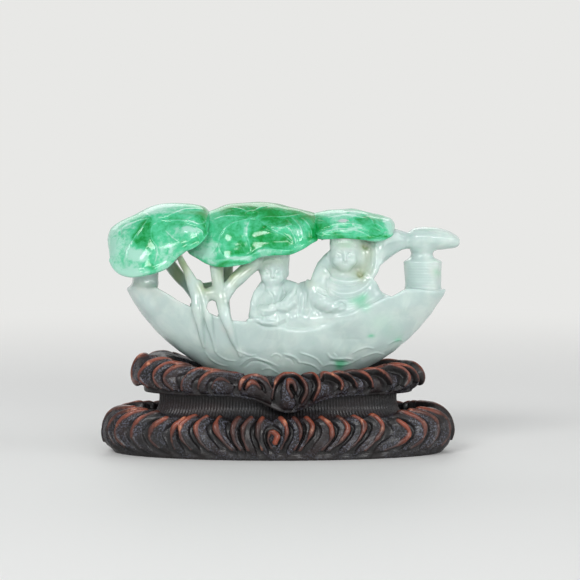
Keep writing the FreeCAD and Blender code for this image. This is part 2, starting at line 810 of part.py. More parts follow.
def robe(x, half_width, height, profile_shares):
    """A seated robe that stands in the boat's well and swells out over the near gunwale."""
    levels = []
    for up, wide, front_share, back_share in profile_shares:
        near, far = robe_front * front_share, robe_back * back_share
        level = (x, (far - near) / 2, robe_foot_height + height * up, half_width * wide, (far + near) / 2)
        levels.append(level)
    return upright(levels)


left_head_centre = vec(
    left_robe_offset + left_head_shift, -head_forward,
    robe_foot_height + left_robe_height + head_half_height - neck_sink,
)
right_head_centre = vec(
    right_robe_offset + right_head_shift, -head_forward,
    robe_foot_height + right_robe_height + head_half_height - neck_sink,
)


def head(centre):
    return ellipsoid(centre, head_half_width, head_half_depth, head_half_height)


def hair(centre, under):
    """The boy's hair, which runs on up into the leaf above him."""
    top = under(centre.x, centre.y) + leaf_thickness / 2
    heights = (centre.z, (centre.z + top) / 2, top)
    return upright([(centre.x, centre.y, z, hair_radius, hair_radius) for z in heights])


# Shoulder, elbow and wrist of each arm, in shares of the robe's half width, of its reach to the front
# and of its height, and of the sleeve's radius.
left_near_arm_shares = ((-0.52, 0.655, 0.855, 0.95), (-0.71, 0.83, 0.663, 1.05), (-0.14, 0.95, 0.59, 0.75))
left_far_arm_shares = ((0.64, 0.655, 0.89, 0.9), (0.83, 0.81, 0.747, 1.0), (0.56, 0.95, 0.639, 0.7))
right_near_arm_shares = ((-0.64, 0.638, 0.86, 1.0), (-0.76, 0.845, 0.65, 1.1), (-0.3, 0.95, 0.55, 0.8))
raised_arm_shares = ((0.687, 0.552, 0.78, 1.05), (1.0, 0.621, 1.0, 0.95), (0.964, 0.552, 1.22, 0.75))


def arm_joints(x, half_width, height, joint_shares):
    """The middle and the radius of an arm at each of its joints."""
    joints = []
    for wide, near, up, thick in joint_shares:
        middle = vec(x + half_width * wide, -robe_front * near, robe_foot_height + height * up)
        joints.append((middle, sleeve_radius * thick))
    return joints


def left_arm_joints(joint_shares):
    return arm_joints(left_robe_offset, left_robe_half_width, left_robe_height, joint_shares)


def right_arm_joints(joint_shares):
    return arm_joints(right_robe_offset, right_robe_half_width, right_robe_height, joint_shares)


def hand(joints):
    """A closed fist just past an arm's wrist."""
    elbow, wrist = joints[-2][0], joints[-1][0]
    return Part.makeSphere(hand_radius, wrist + (wrist - elbow).normalize() * hand_reach)


def lengthwise(rows):
    """A loft along X through ovals, each (x, y, low z, high z, half depth)."""
    wires = []
    for x, y, low, high, half_depth in rows:
        centre = vec(x, y, (low + high) / 2)
        wires.append(round_section(centre, vec(0, 1, 0), vec(0, 0, 1), half_depth, (high - low) / 2))
    return loft(wires)


# Each row: share along the drapery, share of its drop.
drapery_shares = ((0.0, 0.1), (0.3, 0.0), (0.55, 0.5), (0.75, 0.95), (1.0, 1.0))


def make_drapery():
    """The robe cloth that fills the place between the two boys."""
    foot = gunwale_low_height + drapery_lift
    rows = []
    for along, down in drapery_shares:
        x = drapery_start + (drapery_end - drapery_start) * along
        top = foot + drapery_height - drapery_drop * down
        rows.append((x, -drapery_forward, foot, top, drapery_half_depth))
    return lengthwise(rows)


# Each row: share along the hanging sleeve, share of its half depth.
hanging_sleeve_shares = ((0.0, 0.8), (0.5, 1.0), (1.0, 0.8))
hanging_sleeve_foot_share = 0.84


def make_hanging_sleeve():
    """The sleeve that hangs between the right boy's head and his raised arm."""
    foot = robe_foot_height + right_robe_height * hanging_sleeve_foot_share
    rows = []
    for along, deep in hanging_sleeve_shares:
        x = hanging_sleeve_start + (hanging_sleeve_end - hanging_sleeve_start) * along
        half_depth = hanging_sleeve_half_depth * deep
        rows.append((x, -hanging_sleeve_forward, foot, foot + hanging_sleeve_height, half_depth))
    return lengthwise(rows)


# Wine jar and lotus bud


jar_foot_height = gunwale_height(jar_offset) - jar_sink
jar_top_height = jar_foot_height + jar_height
bud_foot_height = jar_top_height + jar_neck_height


def make_jar():
    """The ribbed wine jar on the stern, turned about its own axis."""
    outside = jar_offset + jar_radius
    points = [vec(jar_offset, 0, jar_foot_height), vec(outside, 0, jar_foot_height)]
    rib_pitch = (jar_top_height - jar_foot_height) / (jar_rib_count + 1)
    for rib in range(1, jar_rib_count + 1):
        z = jar_foot_height + rib_pitch * rib
        points.append(vec(outside, 0, z - rib_pitch / 4))
        points.append(vec(outside + jar_rib_height, 0, z))
        points.append(vec(outside, 0, z + rib_pitch / 4))
    points.append(vec(outside, 0, jar_top_height))
    points.append(vec(jar_offset, 0, jar_top_height))
    face = Part.Face(Part.makePolygon(points + points[:1]))
    return face.revolve(vec(jar_offset, 0, 0), vec(0, 0, 1), 360)


neck_waist_share = 0.88


def make_jar_neck():
    top = bud_foot_height + bud_height / 2
    narrow = jar_neck_radius * neck_waist_share
    levels = (
        (jar_offset, 0, jar_top_height, jar_neck_radius, jar_neck_radius),
        (jar_offset, 0, (jar_top_height + bud_foot_height) / 2, narrow, narrow),
        (jar_offset, 0, top, jar_neck_radius, jar_neck_radius),
    )
    return upright(levels)


# Each row: share along the bud, shares of its height for its low and high side, share of its half width.
bud_shares = (
    (0.0, 0.06, 0.82, 0.6), (0.16, 0.0, 0.95, 0.88), (0.42, 0.0, 1.0, 1.0),
    (0.68, 0.02, 0.98, 0.92), (0.9, 0.08, 0.78, 0.66), (1.0, 0.22, 0.56, 0.3),
)


def make_bud():
    """The closed lotus bud that lies across the jar's mouth."""
    rows = []
    for along, low, high, wide in bud_shares:
        foot, top = bud_foot_height + bud_height * low, bud_foot_height + bud_height * high
        rows.append((bud_start + bud_length * along, 0, foot, top, bud_half_width * wide))
    return lengthwise(rows)


# Each row: share of the way from the raised arm to the bud, share of the fall, share of the half height.
stalk_middle_share = 0.44
stalk_shares = ((0.0, 1.0, 0.95), (0.38, 0.4, 0.92), (0.62, 0.1, 0.62), (0.86, 0.0, 0.44), (1.0, 0.0, 0.42))


def make_stalk():
    """The thick bud stalk that the right boy holds, from his raised hand to the bud."""
    end = bud_start + bud_length * bud_shares[1][0]
    level = bud_foot_height + bud_height * stalk_middle_share
    rows = []
    for along, down, tall in stalk_shares:
        z = level - stalk_fall * down
        half = stalk_half_height * tall
        x = stalk_start + (end - stalk_start) * along
        rows.append((x, -head_forward * (1 - along), z - half, z + half, stalk_half_depth))
    return lengthwise(rows)


# Assembly


def make_leaves():
    left = leaf(
        left_leaf_start, left_leaf_end, left_leaf_crown, left_leaf_drop,
        left_leaf_reach, left_leaf_shares,
    )
    middle = leaf(
        middle_leaf_start, middle_leaf_end, middle_leaf_crown, middle_leaf_drop,
        middle_leaf_reach, middle_leaf_shares,
    )
    right = leaf(
        right_leaf_start, right_leaf_end, right_leaf_crown, right_leaf_drop,
        right_leaf_reach, right_leaf_shares,
    )
    middle = fitted(middle, left)
    return {
        "lotus_leaf_left": left,
        "lotus_leaf_middle": middle,
        "lotus_leaf_right": fitted(right, middle),
    }


def make_boys(hull, leaves):
    """Both boys; each form gives way to those made before it."""
    left_near_arm = left_arm_joints(left_near_arm_shares)
    left_far_arm = left_arm_joints(left_far_arm_shares)
    right_near_arm = right_arm_joints(right_near_arm_shares)
    raised_arm = right_arm_joints(raised_arm_shares)
    forms = {
        "right_boy_robe": robe(
            right_robe_offset, right_robe_half_width, right_robe_height, right_robe_shares
        ),
        "left_boy_robe": robe(left_robe_offset, left_robe_half_width, left_robe_height, left_robe_shares),
        "right_boy_head": head(right_head_centre),
        "left_boy_head": head(left_head_centre),
        "right_boy_hair": hair(right_head_centre, right_leaf_under),
        "left_boy_hair": hair(left_head_centre, middle_leaf_under),
        "left_boy_near_arm": limb(left_near_arm),
        "left_boy_far_arm": limb(left_far_arm),
        "right_boy_near_arm": limb(right_near_arm),
        "right_boy_raised_arm": limb(raised_arm),
        "left_boy_near_hand": hand(left_near_arm),
        "left_boy_far_hand": hand(left_far_arm),
        "right_boy_near_hand": hand(right_near_arm),
        "right_boy_raised_hand": hand(raised_arm),
        "shared_drapery": make_drapery(),
        "right_boy_hanging_sleeve": make_hanging_sleeve(),
    }
    return in_order(forms, [hull, *leaves.values()])


def in_order(forms, earlier):
    """Cuts each form back to all those before it."""
    placed = {}
    for node, shape in forms.items():
        placed[node] = fitted(shape, *earlier, *placed.values())
    return placed


def make_stems(hull, leaves, boys):
    forms = {
        "middle_stem": stem(middle_stem_points),
        "outer_stem": stem(outer_stem_points),
        "inner_stem": stem(inner_stem_points),
        "forked_stem": make_fork(),
        "stem_web": make_web(),
        "back_outer_stem": stem(back_outer_stem_points),
        "back_middle_stem": stem(back_middle_stem_points),
        "bow_post": make_post(),
    }
    return in_order(forms, [hull, *leaves.values(), *boys.values()])


def make_stern(hull, leaves, boys):
    forms = {
        "lotus_bud": make_bud(),
        "wine_jar": make_jar(),
        "jar_neck": make_jar_neck(),
        "bud_stalk": make_stalk(),
    }
    return in_order(forms, [hull, leaves["lotus_leaf_right"], *boys.values()])


def make_carving():
    hull = make_hull()
    leaves = make_leaves()
    boys = make_boys(hull, leaves)
    stems = make_stems(hull, leaves, boys)
    stern = make_stern(hull, leaves, boys)
    return {"boat_hull": hull, **leaves, **boys, **stems, **stern}


def make_stand():
    foot, rim = foot_ring(), rim_ring()
    return {
        "stand_foot_wave_ring": foot.solid(),
        "stand_foot_floor": foot.floor(),
        "stand_waist": make_waist(),
        "stand_rim_wave_ring": rim.solid(),
        "stand_tray": make_tray(rim),
    }


os.makedirs("parts", exist_ok=True)
for node, shape in {**make_stand(), **make_carving()}.items():
    shape.exportStep(f"parts/{node}.step")
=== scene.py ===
import bpy
import math
import numpy as np
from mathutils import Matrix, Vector


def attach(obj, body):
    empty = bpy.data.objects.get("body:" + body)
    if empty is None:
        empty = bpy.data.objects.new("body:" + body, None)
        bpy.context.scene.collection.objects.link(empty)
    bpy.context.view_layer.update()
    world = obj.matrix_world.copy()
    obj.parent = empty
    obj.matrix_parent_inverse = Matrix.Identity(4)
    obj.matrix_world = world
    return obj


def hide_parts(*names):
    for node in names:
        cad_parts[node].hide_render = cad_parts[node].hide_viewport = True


# The looks of a jade carving of two boys in a boat under lotus leaves, on a carved wooden wave stand.
# Sizes are millimetres in the model's own frame until a mesh is made: X along the boat, -Y towards
# the viewer, Z up. Places named px are pixels of the 580 x 580 photograph.

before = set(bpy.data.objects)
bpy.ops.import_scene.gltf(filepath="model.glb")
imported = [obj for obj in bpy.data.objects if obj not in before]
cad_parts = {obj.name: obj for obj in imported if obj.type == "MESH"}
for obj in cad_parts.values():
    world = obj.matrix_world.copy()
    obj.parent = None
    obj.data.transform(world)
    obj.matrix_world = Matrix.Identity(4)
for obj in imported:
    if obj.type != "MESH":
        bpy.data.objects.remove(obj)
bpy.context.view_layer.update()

metres_per_mm = 0.001

# Camera and the photograph's plane
photo_centre_px = 290.0
mm_per_px = 0.25
photo_width = 145.0
camera_distance = 540.0
camera_elevation = math.radians(3.6)
camera_sensor = 36.0
target_x = 3.0
target_z = 40.5

# Hull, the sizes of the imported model
hull_radius = 44.85
hull_half_width = 16.0
hull_offset = 2.1
keel_height = 16.25
hull_centre_height = keel_height + hull_radius
hull_wall = 2.4
hull_edge = 0.9
gunwale_low_height = 32.4
gunwale_rise = 9.1
well_floor_height = 27.6
well_half_length = 27.5

# Grids that the stone is carved on
stone_pitch = 0.2
leaf_pitch = 0.17
far = 6.0
least_slope, least_outward = 0.02, 0.05

# Grid and strokes that the fine relief is drawn on
relief_pitch = 0.06
stroke_step = 0.3
stroke_taper = 0.35

stone_low = (-39.5, -14.0, 15.8)
stone_high = (46.6, 14.2, 60.4)

rise, level = math.sin(camera_elevation), math.cos(camera_elevation)


def place(px, py, y):
    """The point at depth y that shows at a pixel of the photograph."""
    up = 0.0
    for _ in range(3):
        reach = (camera_distance + y * level - up * rise) / camera_distance
        up = ((photo_centre_px - py) * mm_per_px * reach - y * rise) / level
    return np.array((target_x + (px - photo_centre_px) * mm_per_px * reach, y, target_z + up))


def seen(x, y, z):
    """Where a point shows, in mm right of and over the middle of the photograph."""
    up = z - target_z
    reach = (camera_distance + y * level - up * rise) / camera_distance
    return (x - target_x) / reach, (up * level + y * rise) / reach


def on_plane(pixels):
    """Pixels of the photograph in mm right of and over its middle."""
    points = np.array(pixels, dtype=float)
    return np.stack(((points[:, 0] - photo_centre_px), (photo_centre_px - points[:, 1])), 1) * mm_per_px


# Smooth curves


def through(places, values):
    """A smooth curve through points, as a function of the place."""
    places, values = np.array(places, dtype=float), np.array(values, dtype=float)
    slopes = np.gradient(values, places)

    def at(x):
        index = np.clip(np.searchsorted(places, x) - 1, 0, len(places) - 2)
        span = places[index + 1] - places[index]
        t = np.clip((x - places[index]) / span, 0, 1)
        hold = (1 + 2 * t) * (1 - t) ** 2
        turn = t**2 * (3 - 2 * t)
        start = t * (1 - t) ** 2 * span
        end = t**2 * (t - 1) * span
        return (
            hold * values[index] + turn * values[index + 1]
            + start * slopes[index] + end * slopes[index + 1]
        )

    return at


def smooth_path(points, step):
    """Points along a smooth curve through a row of points, about one step apart."""
    points = np.array(points, dtype=float)
    if len(points) < 3:
        count = max(int(np.linalg.norm(points[-1] - points[0]) / step), 1)
        share = np.linspace(0, 1, count + 1)[:, None]
        return points[0] + (points[-1] - points[0]) * share
    runs = np.linalg.norm(np.diff(points, axis=0), axis=1)
    places = np.concatenate(([0], np.cumsum(runs)))
    fine = np.linspace(0, places[-1], max(int(places[-1] / step), 2) + 1)
    return np.stack([through(places, points[:, axis])(fine) for axis in range(points.shape[1])], 1)


def ramp(value, low, high):
    """Nought below low, one above high, smooth between."""
    t = np.clip((value - low) / (high - low), 0, 1)
    return t * t * (3 - 2 * t)


ripple_count = 14
least_ripple_share, most_ripple_share = 0.7, 1.6


def ripples(points, wavelength, seed):
    """Soft uneven waves through space, about one high."""
    chance = np.random.default_rng(seed)
    total = np.zeros(len(points))
    for _ in range(ripple_count):
        direction = chance.normal(size=3)
        length = wavelength * chance.uniform(least_ripple_share, most_ripple_share)
        direction *= math.tau / (length * np.linalg.norm(direction))
        total += np.sin(points @ direction + chance.uniform(0, math.tau))
    return total / math.sqrt(ripple_count / 2)


# Stone as signed distances on a grid


def even(form, pitch):
    """A form's values divided by their slope, so that they measure distance."""
    slopes = np.gradient(form, pitch)
    slope = np.sqrt(slopes[0] ** 2 + slopes[1] ** 2 + slopes[2] ** 2)
    return form / np.maximum(slope, least_slope)


def joined(a, b, blend):
    """The union of two forms with a soft crease."""
    near = np.maximum(blend - np.abs(a - b), 0)
    return np.minimum(a, b) - near * near / (4 * blend)


class Clay:
    """A block of stone, less than nought inside."""

    def __init__(self, low, high, pitch):
        self.low = np.array(low, dtype=np.float32)
        self.pitch = pitch
        self.count = np.ceil((np.array(high) - self.low) / pitch).astype(int) + 1
        self.field = np.full(self.count, far, dtype=np.float32)

    def window(self, low, high, margin):
        start = np.floor((np.array(low) - margin - self.low) / self.pitch).astype(int)
        stop = np.ceil((np.array(high) + margin - self.low) / self.pitch).astype(int) + 1
        start, stop = np.clip(start, 0, self.count), np.clip(stop, 0, self.count)
        rows = [self.low[i] + self.pitch * np.arange(start[i], stop[i], dtype=np.float32) for i in range(3)]
        return tuple(slice(a, b) for a, b in zip(start, stop)), np.meshgrid(*rows, indexing="ij", sparse=True)

    def add(self, form, blend):
        low, high, distance = form
        part, (x, y, z) = self.window(low, high, 2 * blend)
        self.field[part] = joined(self.field[part], distance(x, y, z, self.pitch), blend)

    def cut(self, form, blend):
        low, high, distance = form
        part, (x, y, z) = self.window(low, high, 2 * blend)
        self.field[part] = -joined(-self.field[part], distance(x, y, z, self.pitch), blend)

    def sample(self, points):
        """The field at points, blended between the grid's values."""
        place = (points - self.low) / self.pitch
        base = np.clip(np.floor(place).astype(int), 0, self.count - 2)
        t = place - base
        i, j, k = base.T
        u, v, w = t.T
        f = self.field
        near = (f[i, j, k] * (1 - u) + f[i + 1, j, k] * u) * (1 - v)
        near += (f[i, j + 1, k] * (1 - u) + f[i + 1, j + 1, k] * u) * v
        over = (f[i, j, k + 1] * (1 - u) + f[i + 1, j, k + 1] * u) * (1 - v)
        over += (f[i, j + 1, k + 1] * (1 - u) + f[i + 1, j + 1, k + 1] * u) * v
        return near * (1 - w) + over * w

    def slope(self, points):
        step = self.pitch
        slopes = []
        for axis in range(3):
            shift = np.zeros(3)
            shift[axis] = step
            slopes.append((self.sample(points + shift) - self.sample(points - shift)) / (2 * step))
        return np.stack(slopes, 1)

    def skin(self):
        """The stone's surface: points, their outward directions and four-sided faces."""
        inside = self.field < 0
        nx, ny, nz = self.field.shape
        held = np.zeros((nx - 1, ny - 1, nz - 1), dtype=np.int8)
        corners = [(a, b, c) for a in (0, 1) for b in (0, 1) for c in (0, 1)]
        for a, b, c in corners:
            held += inside[a:nx - 1 + a, b:ny - 1 + b, c:nz - 1 + c]
        active = (held > 0) & (held < len(corners))
        cells = np.argwhere(active)
        number = np.full(active.shape, -1, dtype=np.int64)
        number[active] = np.arange(len(cells))
        values = {corner: self.field[tuple((cells + corner).T)] for corner in corners}
        total, crossings = np.zeros((len(cells), 3)), np.zeros(len(cells))
        for start in corners:
            for axis in range(3):
                if start[axis]:
                    continue
                end = tuple(1 if i == axis else start[i] for i in range(3))
                a, b = values[start], values[end]
                crossed = (a < 0) != (b < 0)
                share = np.where(crossed, a / np.where(crossed, a - b, 1), 0)
                point = np.array(start) + share[:, None] * (np.array(end) - np.array(start))
                total += point * crossed[:, None]
                crossings += crossed
        points = self.low + self.pitch * (cells + total / crossings[:, None])
        faces = []
        for axis in range(3):
            left, right = (axis + 1) % 3, (axis + 2) % 3
            here = [slice(1, n - 1) for n in self.field.shape]
            here[axis] = slice(0, self.field.shape[axis] - 1)
            there = list(here)
            there[axis] = slice(1, self.field.shape[axis])
            low, high = inside[tuple(here)], inside[tuple(there)]
            first = np.array([part.start for part in here])
            for outward, found in ((True, low & ~high), (False, high & ~low)):
                edges = np.argwhere(found) + first
                ring = []
                for a, b in ((1, 1), (0, 1), (0, 0), (1, 0)):
                    cell = edges.copy()
                    cell[:, left] -= a
                    cell[:, right] -= b
                    ring.append(number[tuple(cell.T)])
                faces.append(np.stack(ring if outward else ring[::-1], 1))
        for _ in range(2):
            slopes = self.slope(points)
            steep = np.maximum((slopes**2).sum(1), least_outward)
            step = np.clip(self.sample(points) / steep, -self.pitch / 2, self.pitch / 2)
            points = points - slopes * step[:, None]
        slopes = self.slope(points)
        outward = slopes / np.maximum(np.linalg.norm(slopes, axis=1), least_outward)[:, None]
        return points, outward, np.concatenate(faces)


# Forms: each is its lowest corner, its highest corner and its distance from any point

least_steep, least_run = 0.01, 0.0001
stem_step = 0.8
stack_end_blend = 0.8


def ball(centre, half):
    centre, half = np.array(centre, dtype=float), np.ones(3) * half

    def distance(x, y, z, pitch):
        parts = [(x - centre[0]), (y - centre[1]), (z - centre[2])]
        near = np.sqrt(sum((part / size) ** 2 for part, size in zip(parts, half)))
        steep = np.sqrt(sum((part / size**2) ** 2 for part, size in zip(parts, half)))
        return near * (near - 1) / np.maximum(steep, least_steep)

    return centre - half, centre + half, distance


def limb(joints):
    """Tapering runs between joints, each (x, y, z, radius)."""
    joints = np.array(joints, dtype=float)
    reach = joints[:, 3].max()

    def distance(x, y, z, pitch):
        nearest = None
        for start, end in zip(joints, joints[1:]):
            along = end - start
            length = max((along[:3] ** 2).sum(), least_run)
            t = ((x - start[0]) * along[0] + (y - start[1]) * along[1] + (z - start[2]) * along[2]) / length
            t = np.clip(t, 0, 1)
            away = (
                (x - start[0] - t * along[0]) ** 2
                + (y - start[1] - t * along[1]) ** 2
                + (z - start[2] - t * along[2]) ** 2
            )
            run = np.sqrt(away) - (start[3] + t * along[3])
            nearest = run if nearest is None else np.minimum(nearest, run)
        return nearest

    return joints[:, :3].min(0) - reach, joints[:, :3].max(0) + reach, distance


def stem(rows):
    """A smooth round stem through rows of (px x, px y, depth, radius)."""
    joints = [(*place(px, py, y), radius) for px, py, y, radius in rows]
    return limb(smooth_path(joints, stem_step))


def stack(axis, rows):
    """Ovals in a row along an axis, each (place, two middles, two half sizes)."""
    rows = np.array(rows, dtype=float)
    others = [i for i in range(3) if i != axis]
    curves = [through(rows[:, 0], rows[:, i]) for i in range(1, 5)]
    low, high = np.zeros(3), np.zeros(3)
    low[axis], high[axis] = rows[0, 0], rows[-1, 0]
    for slot, i in enumerate(others):
        low[i] = (rows[:, 1 + slot] - rows[:, 3 + slot]).min()
        high[i] = (rows[:, 1 + slot] + rows[:, 3 + slot]).max()

    def distance(x, y, z, pitch):
        grid = (x, y, z)
        along = grid[axis]
        middle_a, middle_b, half_a, half_b = [curve(along) for curve in curves]
        aside_a = (grid[others[0]] - middle_a) / half_a
        aside_b = (grid[others[1]] - middle_b) / half_b
        side = even(np.sqrt(aside_a**2 + aside_b**2) - 1, pitch)
        ends = np.maximum(rows[0, 0] - along, along - rows[-1, 0])
        return -joined(-side, -ends, stack_end_blend)

    return low, high, distance


def flat_distance(u, v, outline):
    """Distance to a closed outline in a plane, less than nought inside."""
    nearest = np.full(np.broadcast(u, v).shape, far * far, dtype=np.float32)
    inside = np.zeros(nearest.shape, dtype=bool)
    for (u0, v0), (u1, v1) in zip(outline, np.roll(outline, -1, axis=0)):
        du, dv = u1 - u0, v1 - v0
        t = np.clip(((u - u0) * du + (v - v0) * dv) / (du * du + dv * dv), 0, 1)
        nearest = np.minimum(nearest, (u - u0 - t * du) ** 2 + (v - v0 - t * dv) ** 2)
        crossing = (v0 > v) != (v1 > v)
        inside ^= crossing & (u < u0 + du * (v - v0) / (dv if dv else 1))
    return np.where(inside, -1, 1) * np.sqrt(nearest)


def hole(pixels, near, far_end):
    """A hole right through the stone along the photograph's view, with a soft-cornered outline."""
    outline = on_plane(pixels)
    corners = np.array([place(px, py, y) for px, py in pixels for y in (near, far_end)])

    def distance(x, y, z, pitch):
        u, v = seen(x, y, z)
        return flat_distance(u, v, outline)

    return corners.min(0), corners.max(0), distance


# Relief drawn in a plane and laid on the stone's near or far side


class Relief:
    """Heights over a plane, in mm right of and over its middle."""

    def __init__(self, low, high):
        self.low, self.pitch = np.array(low, dtype=float), relief_pitch
        self.rows = [np.arange(a, b, relief_pitch) for a, b in zip(low, high)]
        self.height = np.zeros([len(row) for row in self.rows])

    def window(self, points, margin):
        low = np.floor((points.min(0) - margin - self.low) / self.pitch).astype(int)
        high = np.ceil((points.max(0) + margin - self.low) / self.pitch).astype(int) + 1
        low, high = np.clip(low, 0, self.height.shape), np.clip(high, 0, self.height.shape)
        part = tuple(slice(a, b) for a, b in zip(low, high))
        u, v = np.meshgrid(self.rows[0][part[0]], self.rows[1][part[1]], indexing="ij")
        return part, u, v

    def stroke(self, points, width, height, taper=True):
        """A ridge, or a groove where the height is less than nought, that thins towards its ends."""
        path = smooth_path(points, stroke_step)
        part, u, v = self.window(path, 3 * width)
        drawn = np.zeros(u.shape)
        last = len(path) - 1
        for index, ((u0, v0), (u1, v1)) in enumerate(zip(path, path[1:])):
            du, dv = u1 - u0, v1 - v0
            t = np.clip(((u - u0) * du + (v - v0) * dv) / (du * du + dv * dv), 0, 1)
            away = (u - u0 - t * du) ** 2 + (v - v0 - t * dv) ** 2
            share = (index + t) / last
            fade = np.clip(4 * share * (1 - share), 0, 1) ** stroke_taper if taper else 1
            drawn = np.maximum(drawn, np.exp(-away / (width * width / 2)) * fade)
        self.height[part] += height * drawn

    def patch(self, points, height, soft):
        """A raised or sunk area inside an outline."""
        outline = np.array(points, dtype=float)
        part, u, v = self.window(outline, 2 * soft)
        self.height[part] += height * ramp(-flat_distance(u, v, outline), -soft, soft)

    def spot(self, middle, half, height, turn=0.0):
        """A soft round or oval swelling or hollow."""
        middle, half = np.array(middle, dtype=float), np.ones(2) * half
        part, u, v = self.window(np.array([middle - half.max(), middle + half.max()]), half.max())
        along = (u - middle[0]) * math.cos(turn) + (v - middle[1]) * math.sin(turn)
        across = (v - middle[1]) * math.cos(turn) - (u - middle[0]) * math.sin(turn)
        self.height[part] += height * np.exp(-((along / half[0]) ** 2) - (across / half[1]) ** 2)

    def at(self, u, v):
        place = np.stack(((u - self.low[0]) / self.pitch, (v - self.low[1]) / self.pitch))
        limit = np.array(self.height.shape)[:, None] - 2
        base = np.clip(np.floor(place).astype(int), 0, limit)
        s, t = np.clip(place - base, 0, 1)
        i, j = base
        h = self.height
        low = h[i, j] * (1 - s) + h[i + 1, j] * s
        high = h[i, j + 1] * (1 - s) + h[i + 1, j + 1] * s
        return low * (1 - t) + high * t


plane_low, plane_high = (-44.0, -28.0), (44.0, 23.0)


def photo_relief():
    return Relief(plane_low, plane_high)


def draw(relief, rows):
    """Strokes given as (width, height, pixels)."""
    for width, height, pixels in rows:
        relief.stroke(on_plane(pixels), width, height)


# Making meshes


def make_mesh(name, points, faces, marks):
    """A smooth mesh from points in mm and four-sided faces, with a value per point for each mark."""
    mesh = bpy.data.meshes.new(name)
    mesh.vertices.add(len(points))
    mesh.vertices.foreach_set("co", (points * metres_per_mm).astype(np.float32).ravel())
    mesh.loops.add(faces.size)
    mesh.loops.foreach_set("vertex_index", faces.astype(np.int32).ravel())
    mesh.polygons.add(len(faces))
    mesh.polygons.foreach_set("loop_start", np.arange(0, faces.size, 4, dtype=np.int32))
    mesh.update(calc_edges=True)
    mesh.validate()
    mesh.shade_smooth()
    for mark, values in marks.items():
        layer = mesh.attributes.new(mark, "FLOAT", "POINT")
        layer.data.foreach_set("value", values.astype(np.float32))
    piece = bpy.data.objects.new(name, mesh)
    bpy.context.scene.collection.objects.link(piece)
    return piece


# Hull

# Each row: share of the hull's radius from its middle, share of the gunwale's rise.
gunwale_shares = (
    (-0.916, 0.95), (-0.816, 1.0), (-0.72, 0.9), (-0.542, 0.46), (-0.381, 0.13), (-0.225, 0.0),
    (0.0, 0.01), (0.198, 0.1), (0.355, 0.24), (0.604, 0.58), (0.76, 0.79), (0.934, 0.99),
)
gunwale_share_at = through(*np.array(gunwale_shares).T)


def gunwale_height(x):
    return gunwale_low_height + gunwale_rise * gunwale_share_at((x - hull_offset) / hull_radius)


def hull_side(x, z):
    """Half the hull's width at one place along it and one height."""
    along = (x - hull_offset) / hull_radius
    down = (hull_centre_height - z) / hull_radius
    return hull_half_width * math.sqrt(max(1 - along**2 - down**2, 0.0))


def hull_ball(grow):
    half = (hull_radius + grow, hull_half_width + grow, hull_radius + grow)
    return ball((hull_offset, 0, hull_centre_height), half)


# The near gunwale's stone rises to the openings. Each row: px x, rise.
near_rise_px = (
    (148, 0.0), (158, 1.2), (175, 1.4), (215, 1.6), (245, 1.9), (262, 1.9), (278, 0.0), (345, 0.0),
    (362, 1.2), (378, 2.4), (392, 2.9), (404, 3.0), (418, 1.9), (432, 0.6), (442, 0.0),
)
near_rise_start, near_rise_full = 1.0, 4.0
near_rise_x = [place(px, photo_centre_px, 0)[0] for px, _ in near_rise_px]
near_rise_at = through(near_rise_x, [rise_by for _, rise_by in near_rise_px])


def hull_form():
    low, high, shape = hull_ball(0)

    def distance(x, y, z, pitch):
        top = z - gunwale_height(x) - near_rise_at(x) * ramp(-y, near_rise_start, near_rise_full)
        lean = np.gradient(gunwale_height(x), pitch, axis=0)
        top = top / np.sqrt(1 + lean**2)
        return -joined(-shape(x, y, z, pitch), -top, hull_edge)

    return low, high, distance


def well_form():
    low, high, shape = hull_ball(-hull_wall)

    def distance(x, y, z, pitch):
        ends = np.maximum(np.abs(x - hull_offset) - well_half_length, well_floor_height - z)
        return -joined(-shape(x, y, z, pitch), -ends, hull_edge)

    low = (hull_offset - well_half_length, low[1], well_floor_height)
    high = (hull_offset + well_half_length, high[1], stone_high[2])
    return low, high, distance


# Stems, each row: px x, px y, depth, radius. A depth on the hull is worked out from its side.
outer_stem_px = (
    (204, 347, None, 0.3), (201, 330, None, 0.85), (198, 312, None, 1.3), (196, 298, -9.9, 1.4),
    (193, 284, -8.9, 1.45), (189, 270, -8.0, 1.5), (184, 258, -7.2, 1.6), (180, 247, -6.4, 1.6),
)
inner_stem_px = (
    (216, 351, None, 0.25), (211, 330, None, 0.75), (207, 312, None, 1.1), (203, 297, -10.2, 1.2),
    (198, 284, -9.2, 1.2), (194, 272, -8.2, 1.3), (189, 258, -7.4, 1.4),
)
middle_stem_px = (
    (240, 356, None, 0.25), (233, 338, None, 0.8), (227, 320, None, 1.3), (222, 304, -10.8, 1.45),
    (219, 290, -10.0, 1.5), (217, 276, -9.0, 1.6), (216, 262, -8.0, 1.7), (216, 250, -7.0, 1.7),
)
forked_stem_px = (
    (222, 303, -10.4, 1.3), (229, 289.5, -9.6, 1.75), (237, 279.5, -8.9, 1.95), (246, 271, -8.2, 1.95),
    (254, 264, -7.4, 1.7), (258, 256, -6.8, 1.6),
)
stem_web_px = (
    (198, 299, -9.6, 1.5), (204, 297, -9.5, 1.6), (211, 294, -9.5, 1.85), (219, 295, -9.8, 1.8),
)
back_outer_stem_px = (
    (212, 345, None, 0.7), (208, 325, None, 1.1), (202, 305, None, 1.3), (190, 290, 10.0, 1.4),
    (180, 278, 8.6, 1.5), (171, 266, 7.4, 1.6), (164, 254, 6.0, 1.6),
)
back_middle_stem_px = (
    (238, 345, None, 0.7), (234, 335, None, 1.1), (229, 318, None, 1.4), (224, 300, 10.8, 1.5),
    (225, 285, 9.9, 1.6), (227, 272, 9.0, 1.6), (226, 256, 7.8, 1.6),
)
back_web_px = ((196, 290, 10.0, 1.2), (206, 286, 9.7, 1.1), (215, 285, 9.7, 1.1), (224, 286, 10.0, 1.2))
